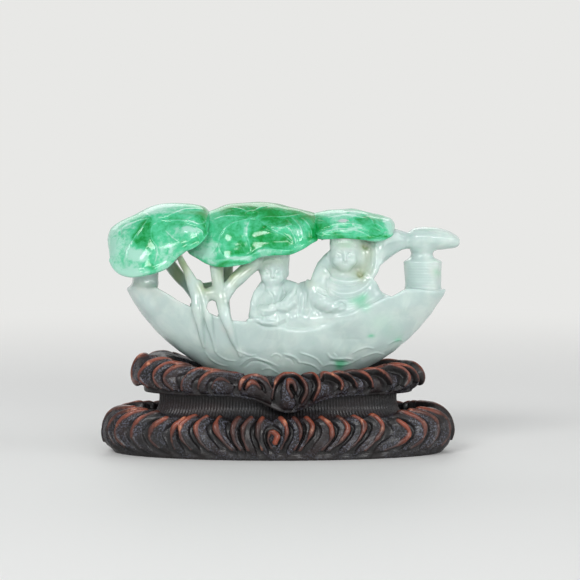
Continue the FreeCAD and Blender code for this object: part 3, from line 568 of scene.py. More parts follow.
stem_proud_share = 0.1
stem_blend, post_blend = 0.5, 2.0
# The bow's post, each row: px x, px y, radius; it is as deep as these depths together.
post_px = ((146, 258, 3.4), (145.6, 270, 3.15), (145.6, 281, 3.1), (147, 291, 3.1), (152, 301, 2.8))
post_depths = (-3.3, 0.0, 3.3)


def rooted(rows, side):
    """Stem rows with the depths on the hull filled in from the hull's side."""
    filled = []
    for px, py, y, radius in rows:
        if y is None:
            y = 0.0
            for _ in range(4):
                x, _, z = place(px, py, y)
                y = side * (hull_side(x, z) + stem_proud_share * radius)
        filled.append((px, py, y, radius))
    return filled


def add_stems(stone):
    for rows, side in (
        (outer_stem_px, -1), (inner_stem_px, -1), (middle_stem_px, -1), (forked_stem_px, -1),
        (stem_web_px, -1), (back_outer_stem_px, 1), (back_middle_stem_px, 1), (back_web_px, 1),
    ):
        stone.add(stem(rooted(rows, side)), stem_blend)
    for depth in post_depths:
        stone.add(stem([(px, py, depth, radius) for px, py, radius in post_px]), post_blend)


# Boys. Each limb row: px x, px y, depth, radius. Each row of a robe: px y, half width in px, half depth,
# middle depth.
left_boy = {
    "head": (272.5, 271.5, -5.4),
    "torso": ((337, 17, 4.6, -4.4), (327, 23, 7.2, -4.6), (317, 24, 8.5, -4.0), (305, 22, 8.0, -3.6),
              (294, 18, 6.0, -3.8), (285, 12, 4.4, -4.2), (279, 9, 3.8, -4.6)),
    "middle_px": 272.5,
    "near_arm": ((261, 289, -6.0, 1.9), (254, 301, -7.8, 2.2), (255, 312, -9.4, 2.2),
                 (267, 311, -11.2, 1.5)),
    "far_arm": ((288, 288, -6.0, 2.0), (294.5, 291, -7.8, 1.9), (291, 301, -9.4, 1.9),
                (282, 307, -11.0, 1.4)),
    "near_hand": (272.5, 308, -11.8), "far_hand": (279.5, 306, -11.6),
}


def add_torso(stone, middle_px, rows):
    """A robe from rows of px y, half width in px, half depth and middle depth, from its foot up."""
    stones = []
    for py, half_px, half_depth, y in rows:
        x, _, z = place(middle_px, py, y)
        stones.append((z, x, y, half_px * mm_per_px, half_depth))
    stone.add(stack(2, stones), robe_blend)


# A head's forms, as shares of its half sizes, from the middle of its face. A single size is a share of its
# half width. On each side it has a cheek, the hollow of an eye, the eye and an ear.
head_blend, nose_blend, lips_blend, chin_blend = 0.5, 0.35, 0.3, 0.8
side_face_shares = (
    (Clay.add, (0.4, 0.3, -0.3), 0.34, 0.8),
    (Clay.cut, (0.36, -0.02, 0.1), 0.2, 0.5),
    (Clay.add, (0.36, 0.24, 0.08), (0.17, 0.17, 0.12), 0.12),
    (Clay.add, (0.98, 0.9, -0.02), (0.14, 0.2, 0.3), 0.3),
)
nose_shares = (((0.0, 0.02, 0.14), 0.07), ((0.0, -0.1, -0.2), 0.12))
lips_place_shares, lips_size_shares = (0.0, 0.16, -0.46), (0.2, 0.14, 0.07)
chin_place_shares, chin_size_share = (0.0, 0.44, -0.56), 0.44


def add_head(stone, centre, half):
    """A calm round child's head with nose, cheeks, eyes, lips, chin and ears."""
    middle = np.array(centre) - (0, half[1], 0)
    half = np.array(half)
    width = half[0]
    stone.add(ball(centre, half), head_blend)
    for side in (-1, 1):
        for work, shares, size_shares, blend in side_face_shares:
            size = width * size_shares if isinstance(size_shares, float) else half * size_shares
            work(stone, ball(middle + half * shares * (side, 1, 1), size), blend)
    nose = [(*(middle + half * shares), width * radius_share) for shares, radius_share in nose_shares]
    stone.add(limb(nose), nose_blend)
    lips, chin = middle + half * lips_place_shares, middle + half * chin_place_shares
    stone.add(ball(lips, half * lips_size_shares), lips_blend)
    stone.add(ball(chin, width * chin_size_share), chin_blend)


left_hair_px = ((272.5, 268, -4.4, 4.2), (273, 258, -5.2, 4.2), (273, 248, -5.4, 4.1))
right_hair_px = ((344.5, 250, -4.4, 4.3), (345, 242, -5.2, 4.4), (345, 234, -5.4, 4.4))

right_boy = {
    "head": (344.5, 255.0, -5.6),
    "torso": ((337, 24, 4.0, -4.4), (327, 31, 6.4, -4.5), (316, 33, 8.3, -4.0), (302, 34, 7.6, -4.2),
              (290, 32, 6.4, -4.2), (280, 27, 5.2, -4.2), (272, 18, 4.0, -4.2), (264, 12, 3.2, -4.0)),
    "middle_px": 345,
    "near_arm": ((334, 252, -2.6, 1.4), (325, 263, -4.6, 2.3), (319, 276, -6.6, 2.6),
                 (316, 290, -8.6, 2.8), (322, 301, -10.4, 2.3), (334, 306, -11.4, 1.6)),
    "raised_arm": ((366, 292, -7.0, 3.0), (371, 279, -7.0, 2.3), (377, 266, -6.6, 1.7),
                   (377.5, 253, -6.0, 1.35), (377, 240, -5.4, 1.5)),
    "near_hand": (341, 307, -11.9),
}
drapery_px = ((296, 306, -7.2, 3.2), (305, 302, -6.6, 3.9), (314, 303, -7.0, 3.6))
drapery_top_px = ((297, 291, -6.4, 1.5), (306, 287.5, -6.0, 1.7), (313, 288, -6.0, 2.0))
drapery_low_px = ((288, 319, -8.4, 2.8), (306, 319, -8.8, 2.8), (326, 319, -8.6, 2.8))
sleeve_web_px, sleeve_web_half = (366, 259, -3.4), (4.0, 3.6, 6.6)
jar_foot_web_px = ((366, 295, -6.6, 2.6), (378, 301, -7.0, 2.5), (391, 305, -6.9, 2.3), (404, 302, -6.2, 2.4))

head_half = (3.75, 3.9, 4.15)
right_head_half = (3.95, 3.9, 4.4)
hand_half = (1.25, 1.0, 1.15)
robe_blend, hair_blend, drapery_blend, sleeve_web_blend = 1.4, 0.8, 1.2, 2.0
left_arm_blend, right_arm_blend, raised_arm_blend, hand_blend = 0.6, 0.7, 1.4, 0.35


def add_boys(stone):
    for boy, half, hair in (
        (left_boy, head_half, left_hair_px), (right_boy, right_head_half, right_hair_px),
    ):
        add_torso(stone, boy["middle_px"], boy["torso"])
        stone.add(stem(hair), hair_blend)
        add_head(stone, place(*boy["head"]), half)
    for rows in (drapery_px, drapery_top_px, drapery_low_px, jar_foot_web_px):
        stone.add(stem(rows), drapery_blend)
    stone.add(ball(place(*sleeve_web_px), sleeve_web_half), sleeve_web_blend)
    stone.add(stem(left_boy["near_arm"]), left_arm_blend)
    stone.add(stem(left_boy["far_arm"]), left_arm_blend)
    stone.add(stem(right_boy["near_arm"]), right_arm_blend)
    stone.add(stem(right_boy["raised_arm"]), raised_arm_blend)
    for hand in (left_boy["near_hand"], left_boy["far_hand"], right_boy["near_hand"]):
        stone.add(ball(place(*hand), hand_half), hand_blend)


# Stern: jar, cap and stalk. Rows along X: px x, px top, px bottom, half depth.
cap_px = (
    (405.5, 236, 246, 2.0), (410, 230.5, 249.5, 3.5), (420, 227.3, 250, 4.4), (432, 227, 250, 4.6),
    (445, 229.2, 249.6, 4.2), (454, 233.6, 248.2, 3.2), (459.5, 237.5, 245.5, 1.8),
)
stalk_px = (
    (372, 242, 272, 2.6, -5.4), (382, 233, 264.5, 2.7, -4.6), (389, 229.5, 259.5, 2.7, -3.4),
    (394, 228.6, 255, 2.7, -2.6), (400, 230.4, 251.8, 2.4, -1.6), (408, 232.6, 249.2, 2.0, -0.6),
)
jar_middle_px = 422.6
# Each row: px y, half width in px.
jar_px = (
    (296, 20.5), (290, 19.0), (286, 18.6), (280, 18.9), (272, 19.1), (264, 19.6), (261.2, 19.4),
    (259.2, 16.4), (257.4, 13.2), (255, 11.6), (252.6, 11.6), (250, 13.0), (246, 15.0),
)
jar_rib_first_px, jar_rib_pitch_px, jar_rib_count = 264.0, 2.8, 9
jar_rib_half_px, jar_rib_fall_px, jar_rib_width, jar_rib_depth = 16.5, 0.5, 0.2, 0.08
jar_blend, cap_blend, stalk_blend = 0.35, 1.2, 0.8


def lengthwise(rows):
    """A form along X through rows of px x, px top, px bottom, half depth and middle depth."""
    ovals = []
    for row in rows:
        px, top, bottom, half_depth = row[:4]
        y = row[4] if len(row) > 4 else 0.0
        x, _, z = place(px, (top + bottom) / 2, y)
        ovals.append((x, y, z, half_depth, (bottom - top) / 2 * mm_per_px))
    return stack(0, ovals)


def add_stern(stone):
    middle_x = place(jar_middle_px, photo_centre_px, 0)[0]
    ovals = []
    for py, half_px in jar_px:
        half = half_px * mm_per_px
        ovals.append((place(jar_middle_px, py, 0)[2], middle_x, 0.0, half, half))
    stone.add(stack(2, ovals), jar_blend)
    stone.add(lengthwise(cap_px), cap_blend)
    stone.add(lengthwise(stalk_px), stalk_blend)


# Openings right through the carving, in pixels
hole_by_post_px = (
    (160, 277.5), (164, 275.5), (169, 276), (175, 281), (183, 288), (189.5, 298), (190.5, 307), (178, 300.4),
    (167, 293.7), (157.5, 288),
)
hole_under_left_leaf_px = (
    (182, 255), (187, 251), (195, 254.5), (203, 260), (208, 264), (210, 272), (211, 281), (204, 281.5),
    (196.5, 279), (189, 267),
)
hole_between_stems_px = (
    (206.5, 308), (208, 303), (212, 300), (215.5, 302), (217, 309), (218, 317), (209, 313),
)
hole_by_left_boy_px = (
    (258, 270.5), (260.5, 276), (261, 281), (254, 291), (250.5, 301), (249, 312), (246, 321.5),
    (232.5, 320.5), (230.5, 313), (230, 304), (232.5, 296), (237, 289), (250, 277),
)
hole_between_boys_px = (
    (319, 238), (330, 239), (329.5, 244), (330, 250), (323, 256), (317, 263), (314, 271), (310.5, 280.5),
    (301, 275), (292, 269), (290.6, 263), (291.5, 256), (300, 250.5), (310, 243.5),
)
hole_by_jar_px = (
    (410, 248.5), (411, 253), (408, 258.5), (403, 261), (404.3, 270), (405.5, 283), (404.5, 289),
    (398, 293.5), (391.5, 296.5), (384, 292), (379, 286), (373.5, 279), (377.5, 272), (380, 265.5),
    (389, 260), (395.5, 254), (402, 250),
)
cap_throat_px = (
    (437.5, 250), (434, 251.5), (432.8, 254), (434.5, 257), (438, 258.6), (452, 258.6), (452, 249.6),
)
openings = (
    (hole_by_post_px, 0.5), (hole_under_left_leaf_px, 0.5), (hole_between_stems_px, 0.4),
    (hole_by_left_boy_px, 0.6), (hole_between_boys_px, 0.6), (hole_by_jar_px, 0.5), (cap_throat_px, 0.3),
)
opening_near, opening_far = -14.0, 14.2
first_blend, well_blend = 0.1, 0.5
dimples_px = ((365.5, 246.7), (359.9, 274.3))
dimple_half, dimple_depth = 0.6, 0.6


def carve_body():
    stone = Clay(stone_low, stone_high, stone_pitch)
    stone.add(hull_form(), first_blend)
    stone.cut(well_form(), well_blend)
    add_stems(stone)
    add_boys(stone)
    add_stern(stone)
    for pixels, soft in openings:
        stone.cut(hole(pixels, opening_near, opening_far), soft)
    return stone


# Strokes of the near side, each (width, height, pixels)
robe_strokes_px = (
    # left boy's collar, sleeves and hem
    (0.55, 0.34, ((266, 288), (269.6, 292), (272.7, 296), (273.4, 301), (271.5, 306))),
    (0.5, -0.25, ((270.5, 290), (274, 294), (275, 300))),
    (0.55, 0.32, ((283, 288), (280, 294), (277.6, 301))),
    (0.75, 0.45, ((296, 283), (294, 291), (287, 298), (281, 305))),
    (0.5, -0.3, ((298, 287), (296.5, 294), (290, 301), (287, 306))),
    (0.5, 0.3, ((259, 286), (254.5, 294), (252, 304))),
    (0.45, -0.28, ((262, 292), (258, 300), (257, 307))),
    (0.6, 0.34, ((258, 309), (265, 310.5), (272, 310))),
    (0.45, -0.3, ((256, 315), (265, 316.5), (276, 314))),
    (0.6, 0.36, ((252, 316), (262, 322), (276, 322), (288, 316))),
    (0.5, -0.3, ((254, 322), (264, 327), (278, 326.5), (290, 320))),
    (0.5, 0.3, ((262, 312), (264, 318), (262, 325))),
    (0.5, 0.3, ((275, 313), (278, 319), (277, 326))),
    (0.5, 0.28, ((286, 309), (289, 316), (287, 324))),
    (0.5, 0.3, ((294, 300), (298, 308), (297, 318))),
    (0.5, 0.3, ((300, 288), (303, 296), (303, 306), (300, 316))),
    (0.45, -0.28, ((297, 290), (299.5, 299), (300, 308))),
    (0.55, 0.32, ((310, 290), (309, 300), (310, 312), (306, 320))),
    (0.45, -0.28, ((306, 290), (306, 302), (304, 314))),
    # right boy's collar and folds
    (0.7, 0.42, ((326, 274), (333, 279), (342, 281.5), (352, 281.5), (361.4, 279), (367, 273))),
    (0.5, -0.35, ((327, 279), (335, 283.5), (344, 285.5), (354, 285), (363, 282))),
    (0.6, 0.34, ((330, 288), (337, 292.5), (347, 293.5), (357, 291.3), (365.5, 286), (371, 279.5))),
    (0.5, -0.3, ((332, 293), (340, 297), (350, 297), (360, 294), (368, 288))),
    (0.55, 0.38, ((323, 267), (327, 272), (330, 279))),
    (0.55, 0.36, ((318.5, 287), (322, 290), (328, 292))),
    (0.55, 0.36, ((317, 292), (321, 295.5), (326, 297))),
    (0.5, -0.28, ((317, 289.5), (321, 293), (327, 294.6))),
    (0.55, 0.34, ((330, 309), (336, 307), (343, 304))),
    (0.5, 0.3, ((322, 313), (327, 311.5), (333, 310))),
    (0.45, 0.3, ((333, 303), (339, 300.5), (346, 300))),
    (0.6, 0.36, ((312, 300), (313, 307), (317, 314))),
    (0.6, 0.24, ((327, 318), (342, 316.5), (352.5, 314), (362.5, 308), (373, 301.5), (383, 296))),
    (0.5, -0.18, ((334, 314), (344, 313), (353, 310.5), (362, 305), (372, 298))),
    (0.5, 0.26, ((348, 304), (356, 302), (363, 297), (369, 290))),
    (0.6, 0.3, ((371.8, 277), (376, 267), (376.5, 255), (376, 243))),
    (0.4, -0.12, ((370.5, 274), (373, 265), (373.4, 254), (373.2, 242))),
    # hands
    (0.3, -0.22, ((270, 306.5), (273, 307.2), (276, 306.6))),
    (0.3, -0.22, ((270, 308.6), (273, 309.2), (276, 308.4))),
    (0.3, -0.22, ((277.6, 304.6), (281, 305.2), (284, 304.4))),
    (0.3, -0.22, ((277.6, 306.6), (281, 307.2), (284, 306.4))),
    (0.3, -0.22, ((338, 305.5), (342, 306), (345, 305))),
    (0.3, -0.22, ((338, 307.6), (342, 308), (345, 307))),
)
wave_strokes_px = (
    (0.36, 0.2, ((240, 366), (246, 360), (254, 357.5), (262, 359.5), (270, 362.5), (278, 366.5))),
    (0.32, -0.17, ((244, 368), (250, 362.5), (257, 361), (265, 363.5), (272, 367))),
    (0.36, 0.2, ((236, 350), (243, 353), (250, 355.5), (256, 355))),
    (0.4, 0.22, ((283, 354), (289, 355), (296, 358.5), (300, 363))),
    (0.32, -0.17, ((286, 357.5), (291, 359.5), (294, 364))),
    (0.32, 0.18, ((297, 362), (306, 363.2), (315, 366.7), (321, 372))),
    (0.32, 0.18, ((300, 353), (308, 355), (316, 359), (322, 365))),
    (0.4, 0.22, ((327, 353), (330, 357), (338, 358.5), (346, 358), (354, 359.5))),
    (0.29, 0.18, ((333, 353.5), (336, 355.5), (334.5, 358))),
    (0.32, -0.17, ((329, 361), (338, 362), (348, 362))),
    (0.32, 0.18, ((322, 367), (330, 364), (340, 365), (350, 363), (360, 358))),
    (0.32, 0.18, ((352, 353), (360, 349), (368, 347), (374, 349))),
    (0.32, 0.17, ((362, 357), (370, 354), (378, 353), (385, 355))),
    (0.32, 0.17, ((205, 352), (211, 359), (219, 364), (228, 366))),
    (0.29, 0.17, ((214, 350), (220, 356), (228, 360), (236, 361))),
    (0.29, 0.15, ((262, 370), (268, 368), (275, 371), (281, 375))),
    (0.29, 0.17, ((271, 357), (276, 354), (281, 357), (279, 361))),
    (0.32, 0.18, ((388, 345), (394, 341), (401, 340), (406, 343))),
)
cap_strokes_px = (
    (0.5, 0.12, ((413, 236.5), (420, 236), (432, 236.6), (445, 238), (457, 241))),
    (0.4, 0.1, ((436, 230), (446, 233.5), (456, 239))),
    (0.3, -0.14, ((424, 228.5), (434, 231), (444, 234))),
    (0.4, 0.2, ((396, 231), (401, 236), (406, 238))),
)


def body_relief():
    relief = photo_relief()
    draw(relief, robe_strokes_px)
    draw(relief, wave_strokes_px)
    draw(relief, cap_strokes_px)
    for rib in range(jar_rib_count):
        py = jar_rib_first_px + jar_rib_pitch_px * rib
        start = (jar_middle_px - jar_rib_half_px, py)
        end = (jar_middle_px + jar_rib_half_px, py + jar_rib_fall_px)
        relief.stroke(on_plane((start, end)), jar_rib_width, -jar_rib_depth)
    for px, py in dimples_px:
        relief.spot(on_plane(((px, py),))[0], dimple_half, -dimple_depth)
    return relief


# A face's strokes, each (width, height, points as shares of the head's half sizes from its middle). On each
# side it has the lid's edge, the crease under it, the low lid, the brow and the nostril, and in the middle
# the line of the lips, both lips and the edge of the hair.
side_stroke_shares = (
    (0.22, 0.2, ((0.16, 0.06), (0.26, 0.17), (0.4, 0.19), (0.56, 0.1))),
    (0.16, -0.14, ((0.16, 0.0), (0.26, 0.11), (0.4, 0.13), (0.56, 0.04))),
    (0.2, 0.12, ((0.18, 0.03), (0.3, -0.03), (0.44, -0.01), (0.55, 0.07))),
    (0.3, 0.12, ((0.14, 0.3), (0.34, 0.4), (0.6, 0.3))),
    (0.16, -0.1, ((0.08, -0.2), (0.15, -0.24), (0.17, -0.17))),
)
middle_stroke_shares = (
    (0.17, -0.24, ((-0.2, -0.44), (-0.06, -0.47), (0.0, -0.46), (0.06, -0.47), (0.2, -0.44))),
    (0.2, 0.12, ((-0.15, -0.4), (0.0, -0.41), (0.15, -0.4))),
    (0.24, 0.12, ((-0.12, -0.55), (0.0, -0.57), (0.12, -0.55))),
    (0.28, 0.2, ((-0.8, 0.42), (-0.45, 0.66), (0.0, 0.7), (0.45, 0.66), (0.8, 0.42))),
)
# Locks of hair over the brow
lock_count, lock_reach_share, lock_width, lock_depth = 9, 0.7, 0.16, 0.12
lock_foot_shares, lock_top_share = (0.9, 0.72, 0.3), 1.05


def draw_face(relief, centre, half):
    """Eyelids, brows, lips and a fringe, set out on the head's own proportions."""
    u, v = seen(*centre)
    width, _, height = half

    def stroke(points, stroke_width, stroke_height):
        spread = [(u + a * width, v + b * height) for a, b in points]
        relief.stroke(spread, stroke_width, stroke_height)

    for side in (-1, 1):
        for stroke_width, stroke_height, points in side_stroke_shares:
            stroke([(side * a, b) for a, b in points], stroke_width, stroke_height)
    for stroke_width, stroke_height, points in middle_stroke_shares:
        stroke(points, stroke_width, stroke_height)
    foot_spread, foot_rise, foot_fall = lock_foot_shares
    for lock in np.linspace(-lock_reach_share, lock_reach_share, lock_count):
        foot = (lock * foot_spread, foot_rise - foot_fall * lock**2)
        stroke((foot, (lock, lock_top_share)), lock_width, -lock_depth)


# Far side: folds and waves of their own, in mm across from the middle of the boat and up
back_robes = ((-1.0, 5.6, 29.0, 41.0), (16.5, 7.4, 29.0, 44.5))
back_fold_count, back_fold_width, back_fold_height, back_fold_sway = 5, 0.6, 0.17, 0.9
back_low, back_high = (-44.0, 14.0), (48.0, 64.0)


def back_relief():
    relief = Relief(back_low, back_high)
    for middle, half, foot, top in back_robes:
        for fold, share in enumerate(np.linspace(-1, 1, back_fold_count)):
            sway = back_fold_sway * math.sin(middle + math.e * fold)
            x = middle + half * share
            path = ((middle + half * share / 3, top), (x + sway, (top + foot) / 2), (x - sway / 2, foot))
            relief.stroke(path, back_fold_width, back_fold_height)
    for width, height, pixels in wave_strokes_px:
        points = on_plane(pixels)
        mirrored = np.stack((2 * hull_offset - target_x - points[:, 0], target_z + points[:, 1]), 1)
        relief.stroke(mirrored, width, height)
    return relief


# Colour of the stone, painted shade and highlights among it where noted: each spot is px x, px y, half width
# px, half height px, strength
body_green_px = (
    (357, 303, 11, 8, 0.42), (364, 298, 8, 7, 0.3), (371, 338, 3.5, 3, 0.5), (400, 338, 4, 3, 0.4),
    (340, 365, 6, 3.5, 0.55), (346, 362, 5, 3, 0.4), (437, 273, 5, 7, 0.35), (428, 229, 12, 3, 0.3),
    (378, 322, 16, 12, 0.16), (352, 345, 30, 12, 0.12), (393, 332, 18, 16, 0.14), (300, 380, 60, 22, 0.2),
    (215, 366, 30, 14, 0.14), (389, 240, 9, 10, 0.16), (273, 258, 16, 5, 0.3), (345, 243, 18, 5, 0.3),
)
# Olive: on the hair, the stone's pale olive tone; on the stems behind the openings, around the openings, in
# the two dimples and between the right boy's face and raised arm, painted shade.
body_olive_and_shade_px = (
    (178, 270, 9, 14, 0.85), (186, 262, 9, 10, 0.6), (175, 282, 7, 9, 0.6), (204, 287, 9, 8, 0.8),
    (229, 273, 9, 8, 0.9), (243, 270, 14, 8, 0.5), (217, 275, 8, 12, 0.35), (219, 298, 7, 10, 0.28),
    (235, 285, 6, 8, 0.35), (367, 254, 7, 18, 0.5), (360, 272, 9, 9, 0.5), (341, 270, 15, 6, 0.3),
    (365.5, 246.7, 3, 3, 0.7), (359.9, 274.3, 3, 3, 0.7),
    (272, 262, 18, 5, 0.35), (345, 244, 15, 5, 0.3), (203, 308, 12, 14, 0.16), (310, 283, 6, 4, 0.3),
)
leaf_green_px = {
    "left": (
        # The strong spot at px 143, 236 is painted shade in the left leaf's hollow fold, carried as deep
        # green.
        (160, 236, 46, 34, 0.3), (143, 236, 6.5, 10.5, 1.8), (138, 240, 5, 5, 0.6), (150, 231, 3, 8, 0.4),
        (152, 258, 5, 14, 0.4),
        (150, 268, 9, 5, 0.4), (186, 246, 10, 8, 0.4), (198, 242, 8, 8, 0.6), (205, 232, 5, 9, 0.5),
        (190, 212, 20, 5, 0.4), (203, 214, 8, 7, 0.6), (178, 217, 16, 5, 0.4), (205, 224, 6, 6, 0.5),
        (166, 227, 12, 6, 0.2), (176, 224, 14, 5, 0.2), (190, 205, 18, 3, 0.3), (144, 226, 6, 5, 0.3),
    ),
    "middle": (
        (262, 230, 56, 30, 0.5), (262, 205, 34, 8, 1.0), (236, 208, 20, 7, 0.7), (292, 212, 22, 8, 0.9),
        (272, 222, 20, 7, 0.4), (268, 241, 24, 6, 0.8), (288, 244, 16, 5, 0.6), (232, 250, 20, 6, 0.6),
        (252, 246, 9, 7, 0.5), (222, 224, 16, 14, 0.2), (240, 234, 30, 16, 0.15), (300, 232, 16, 12, 0.3),
        (314, 234, 9, 9, 1.0), (226, 263, 24, 4, 0.9), (310, 218, 12, 7, 0.6), (284, 254, 30, 4, 0.6),
        (256, 214, 5, 2.5, 0.7), (265, 235, 8, 4, 0.6),
    ),
    "right": (
        (348, 225, 44, 18, 0.42), (312, 232, 10, 11, 0.8), (322, 225, 8, 6, 0.4), (329, 224, 6, 5, 0.4),
        (348, 237.5, 34, 3.0, 0.8), (318, 218, 9, 5, 0.3), (360, 216, 8, 4, 0.5), (367, 221, 8, 4, 0.5),
        (372, 226, 8, 5, 0.4), (381, 220, 5, 4, 0.4), (377, 236.5, 8, 3.5, 0.7), (340, 232, 20, 3, 0.2),
        (388, 238, 5, 4, 0.5),
    ),
}
# Pale spots: the stone's paler patches, except painted highlights: the glints at px 186, 231 and px 284, 231
# and the bright folds at px 300, 240 and px 302, 226 on the middle leaf's right corner.
leaf_pale_and_highlight_px = {
    "left": (
        (138, 253, 8, 6, 0.7), (111, 246, 7, 20, 0.45), (158, 209, 20, 5, 0.5), (172, 246, 12, 7, 0.3),
        (128, 272, 16, 5, 0.5), (186, 231, 11, 3, 0.45),
    ),
    "middle": (
        (247, 234, 4, 12, 0.7), (206, 254, 8, 7, 0.7), (218, 245, 14, 3, 0.45), (284, 231, 17, 4, 0.5),
        (300, 240, 9, 9, 0.7), (242, 259, 9, 3, 0.8), (262, 252, 8, 3, 0.8), (280, 250.5, 12, 2.5, 0.7),
        (228, 261, 12, 2.5, 0.6), (302, 226, 8, 6, 0.3),
    ),
    "right": (
        (391, 224, 6, 8, 0.9), (340, 214, 24, 3.5, 0.3), (350, 230, 20, 2.5, 0.5), (375, 212, 14, 3, 0.3),
        (343, 221, 12, 4, 0.25),
    ),
}


def colour_map(spots):
    colours = photo_relief()
    for px, py, half_x, half_y, strength in spots:
        middle = on_plane(((px, py),))[0]
        colours.spot(middle, (half_x * mm_per_px, half_y * mm_per_px), strength)
    return colours


def vein_highlight_at(points, strokes):
    """How strongly each point lies on the raised strokes, as thin lines of painted highlight."""
    lines = photo_relief()
    for _, height, pixels in strokes:
        if height > 0:
            lines.stroke(on_plane(pixels), vein_highlight_width, vein_highlight_strength)
    return lines.at(*seen(points[:, 0], points[:, 1], points[:, 2]))


stain_length = 5.0


def stained(points, spots, seed, wander):
    """How strong a colour is at each point, painted shade and highlights among them: its spots, moved about a
    little as in real stone.
    """
    u, v = seen(points[:, 0], points[:, 1], points[:, 2])
    u = u + wander * ripples(points, stain_length, seed)
    v = v + wander * ripples(points, stain_length, seed + 1)
    return np.clip(colour_map(spots).at(u, v), 0, 1)


# How far a surface faces a side before that side's relief starts on it, and when it is full
facing_start, facing_full = 0.12, 0.55


def laid_on(points, outward, relief, back=None):
    """Points moved out by the relief of the side that they face."""
    u, v = seen(points[:, 0], points[:, 1], points[:, 2])
    height = relief.at(u, v) * ramp(-outward[:, 1], facing_start, facing_full)
    if back is not None:
        height = height + back.at(points[:, 0], points[:, 2]) * ramp(outward[:, 1], facing_start, facing_full)
    return points + outward * height[:, None]


body_ripple, body_ripple_length = 0.05, 5.0
body_green_wander, body_olive_wander = 0.35, 0.25
body_green_seed, body_olive_seed, body_ripple_seed = 11, 21, 31


def make_body():
    stone = carve_body()
    points, outward, faces = stone.skin()
    relief = body_relief()
    draw_face(relief, place(*left_boy["head"]), head_half)
    draw_face(relief, place(*right_boy["head"]), right_head_half)
    green = stained(points, body_green_px, body_green_seed, body_green_wander)
    # Olive holds the stone's olive tone and painted shade behind the openings and in recesses.
    olive_and_shade = stained(points, body_olive_and_shade_px, body_olive_seed, body_olive_wander)
    points = laid_on(points, outward, relief, back_relief())
    uneven = body_ripple * ripples(points, body_ripple_length, body_ripple_seed)
    points = points + outward * uneven[:, None]
    return make_mesh("jade_body", points, faces, {"green": green, "olive_and_shade": olive_and_shade})


# Lotus leaves. Each row: px x, px of the top, px of the front lip, share of the reach.
left_leaf_px = (
    (108, 240, 240.5, 0.0), (109, 232, 247, 0.24), (111, 228, 255.5, 0.42), (114, 225.6, 264, 0.57),
    (118, 223, 270, 0.7), (125, 219.5, 275, 0.84), (133, 215.4, 277, 0.94), (145, 209.2, 275.8, 1.0),
    (160, 204.2, 272, 1.0), (170, 203, 267, 1.0), (180, 203.2, 256.5, 1.0), (187, 203.4, 251, 1.0),
    (195, 204, 247.4, 0.98), (203, 206, 241.6, 0.92), (208, 210, 235, 0.78), (211, 215, 228, 0.5),
    (212.6, 220.8, 221.4, 0.0),
)
middle_leaf_px = (
    (184, 247, 247.5, 0.0), (187, 237, 251.5, 0.34), (193, 228, 255, 0.54), (200, 219.5, 258.6, 0.68),
    (208, 212.2, 263.8, 0.8), (215, 208.8, 265.8, 0.88), (225, 205.2, 266.2, 0.95), (240, 203, 265.2, 1.0),
    (250, 202.3, 262.4, 1.0), (258, 202, 257.6, 1.0), (270, 202.8, 255.4, 1.0), (280, 204, 255.2, 1.0),
    (290, 207, 254.8, 1.0), (300, 208.8, 250.3, 0.96), (310, 211.4, 243.4, 0.82), (316, 213.4, 240.6, 0.64),
    (320, 217, 236.6, 0.44), (322.6, 226, 226.6, 0.0),
)
right_leaf_px = (
    (306, 226, 226.6, 0.0), (308.5, 218, 233, 0.42), (313, 213.4, 236.8, 0.66), (320, 211.4, 238.4, 0.84),
    (330, 209.4, 238.9, 0.96), (345, 208.7, 238.0, 1.0), (355, 209, 238.7, 1.0), (365, 211, 239.6, 1.0),
    (373, 213.4, 240.8, 1.0), (380, 215, 240.4, 0.95), (386, 216.4, 238.2, 0.86), (390.5, 217.8, 235.4, 0.7),
    (393.2, 221, 231.6, 0.46), (394.6, 226.6, 227.2, 0.0),
)
left_leaf_reach, middle_leaf_reach, right_leaf_reach = 12.9, 12.7, 10.3
least_half = 0.05
# A leaf's edge waves in and out and, on the far side, up and down too.
edge_wave_share, edge_wave_turn, far_wave_turn = 0.025, 0.55, 1.7
far_lip_wave, far_lip_turn = 0.5, 0.5
thinner_share, leaf_edge_blend, leaf_lip_blend = 0.35, 0.5, 0.6
lip_points, lip_end_share, lip_thin_share, lip_aside_share = 60, 0.05, 0.35, 0.6
leaf_margin, leaf_reach_share, rolled_lip_blend = 1.5, 1.05, 0.7


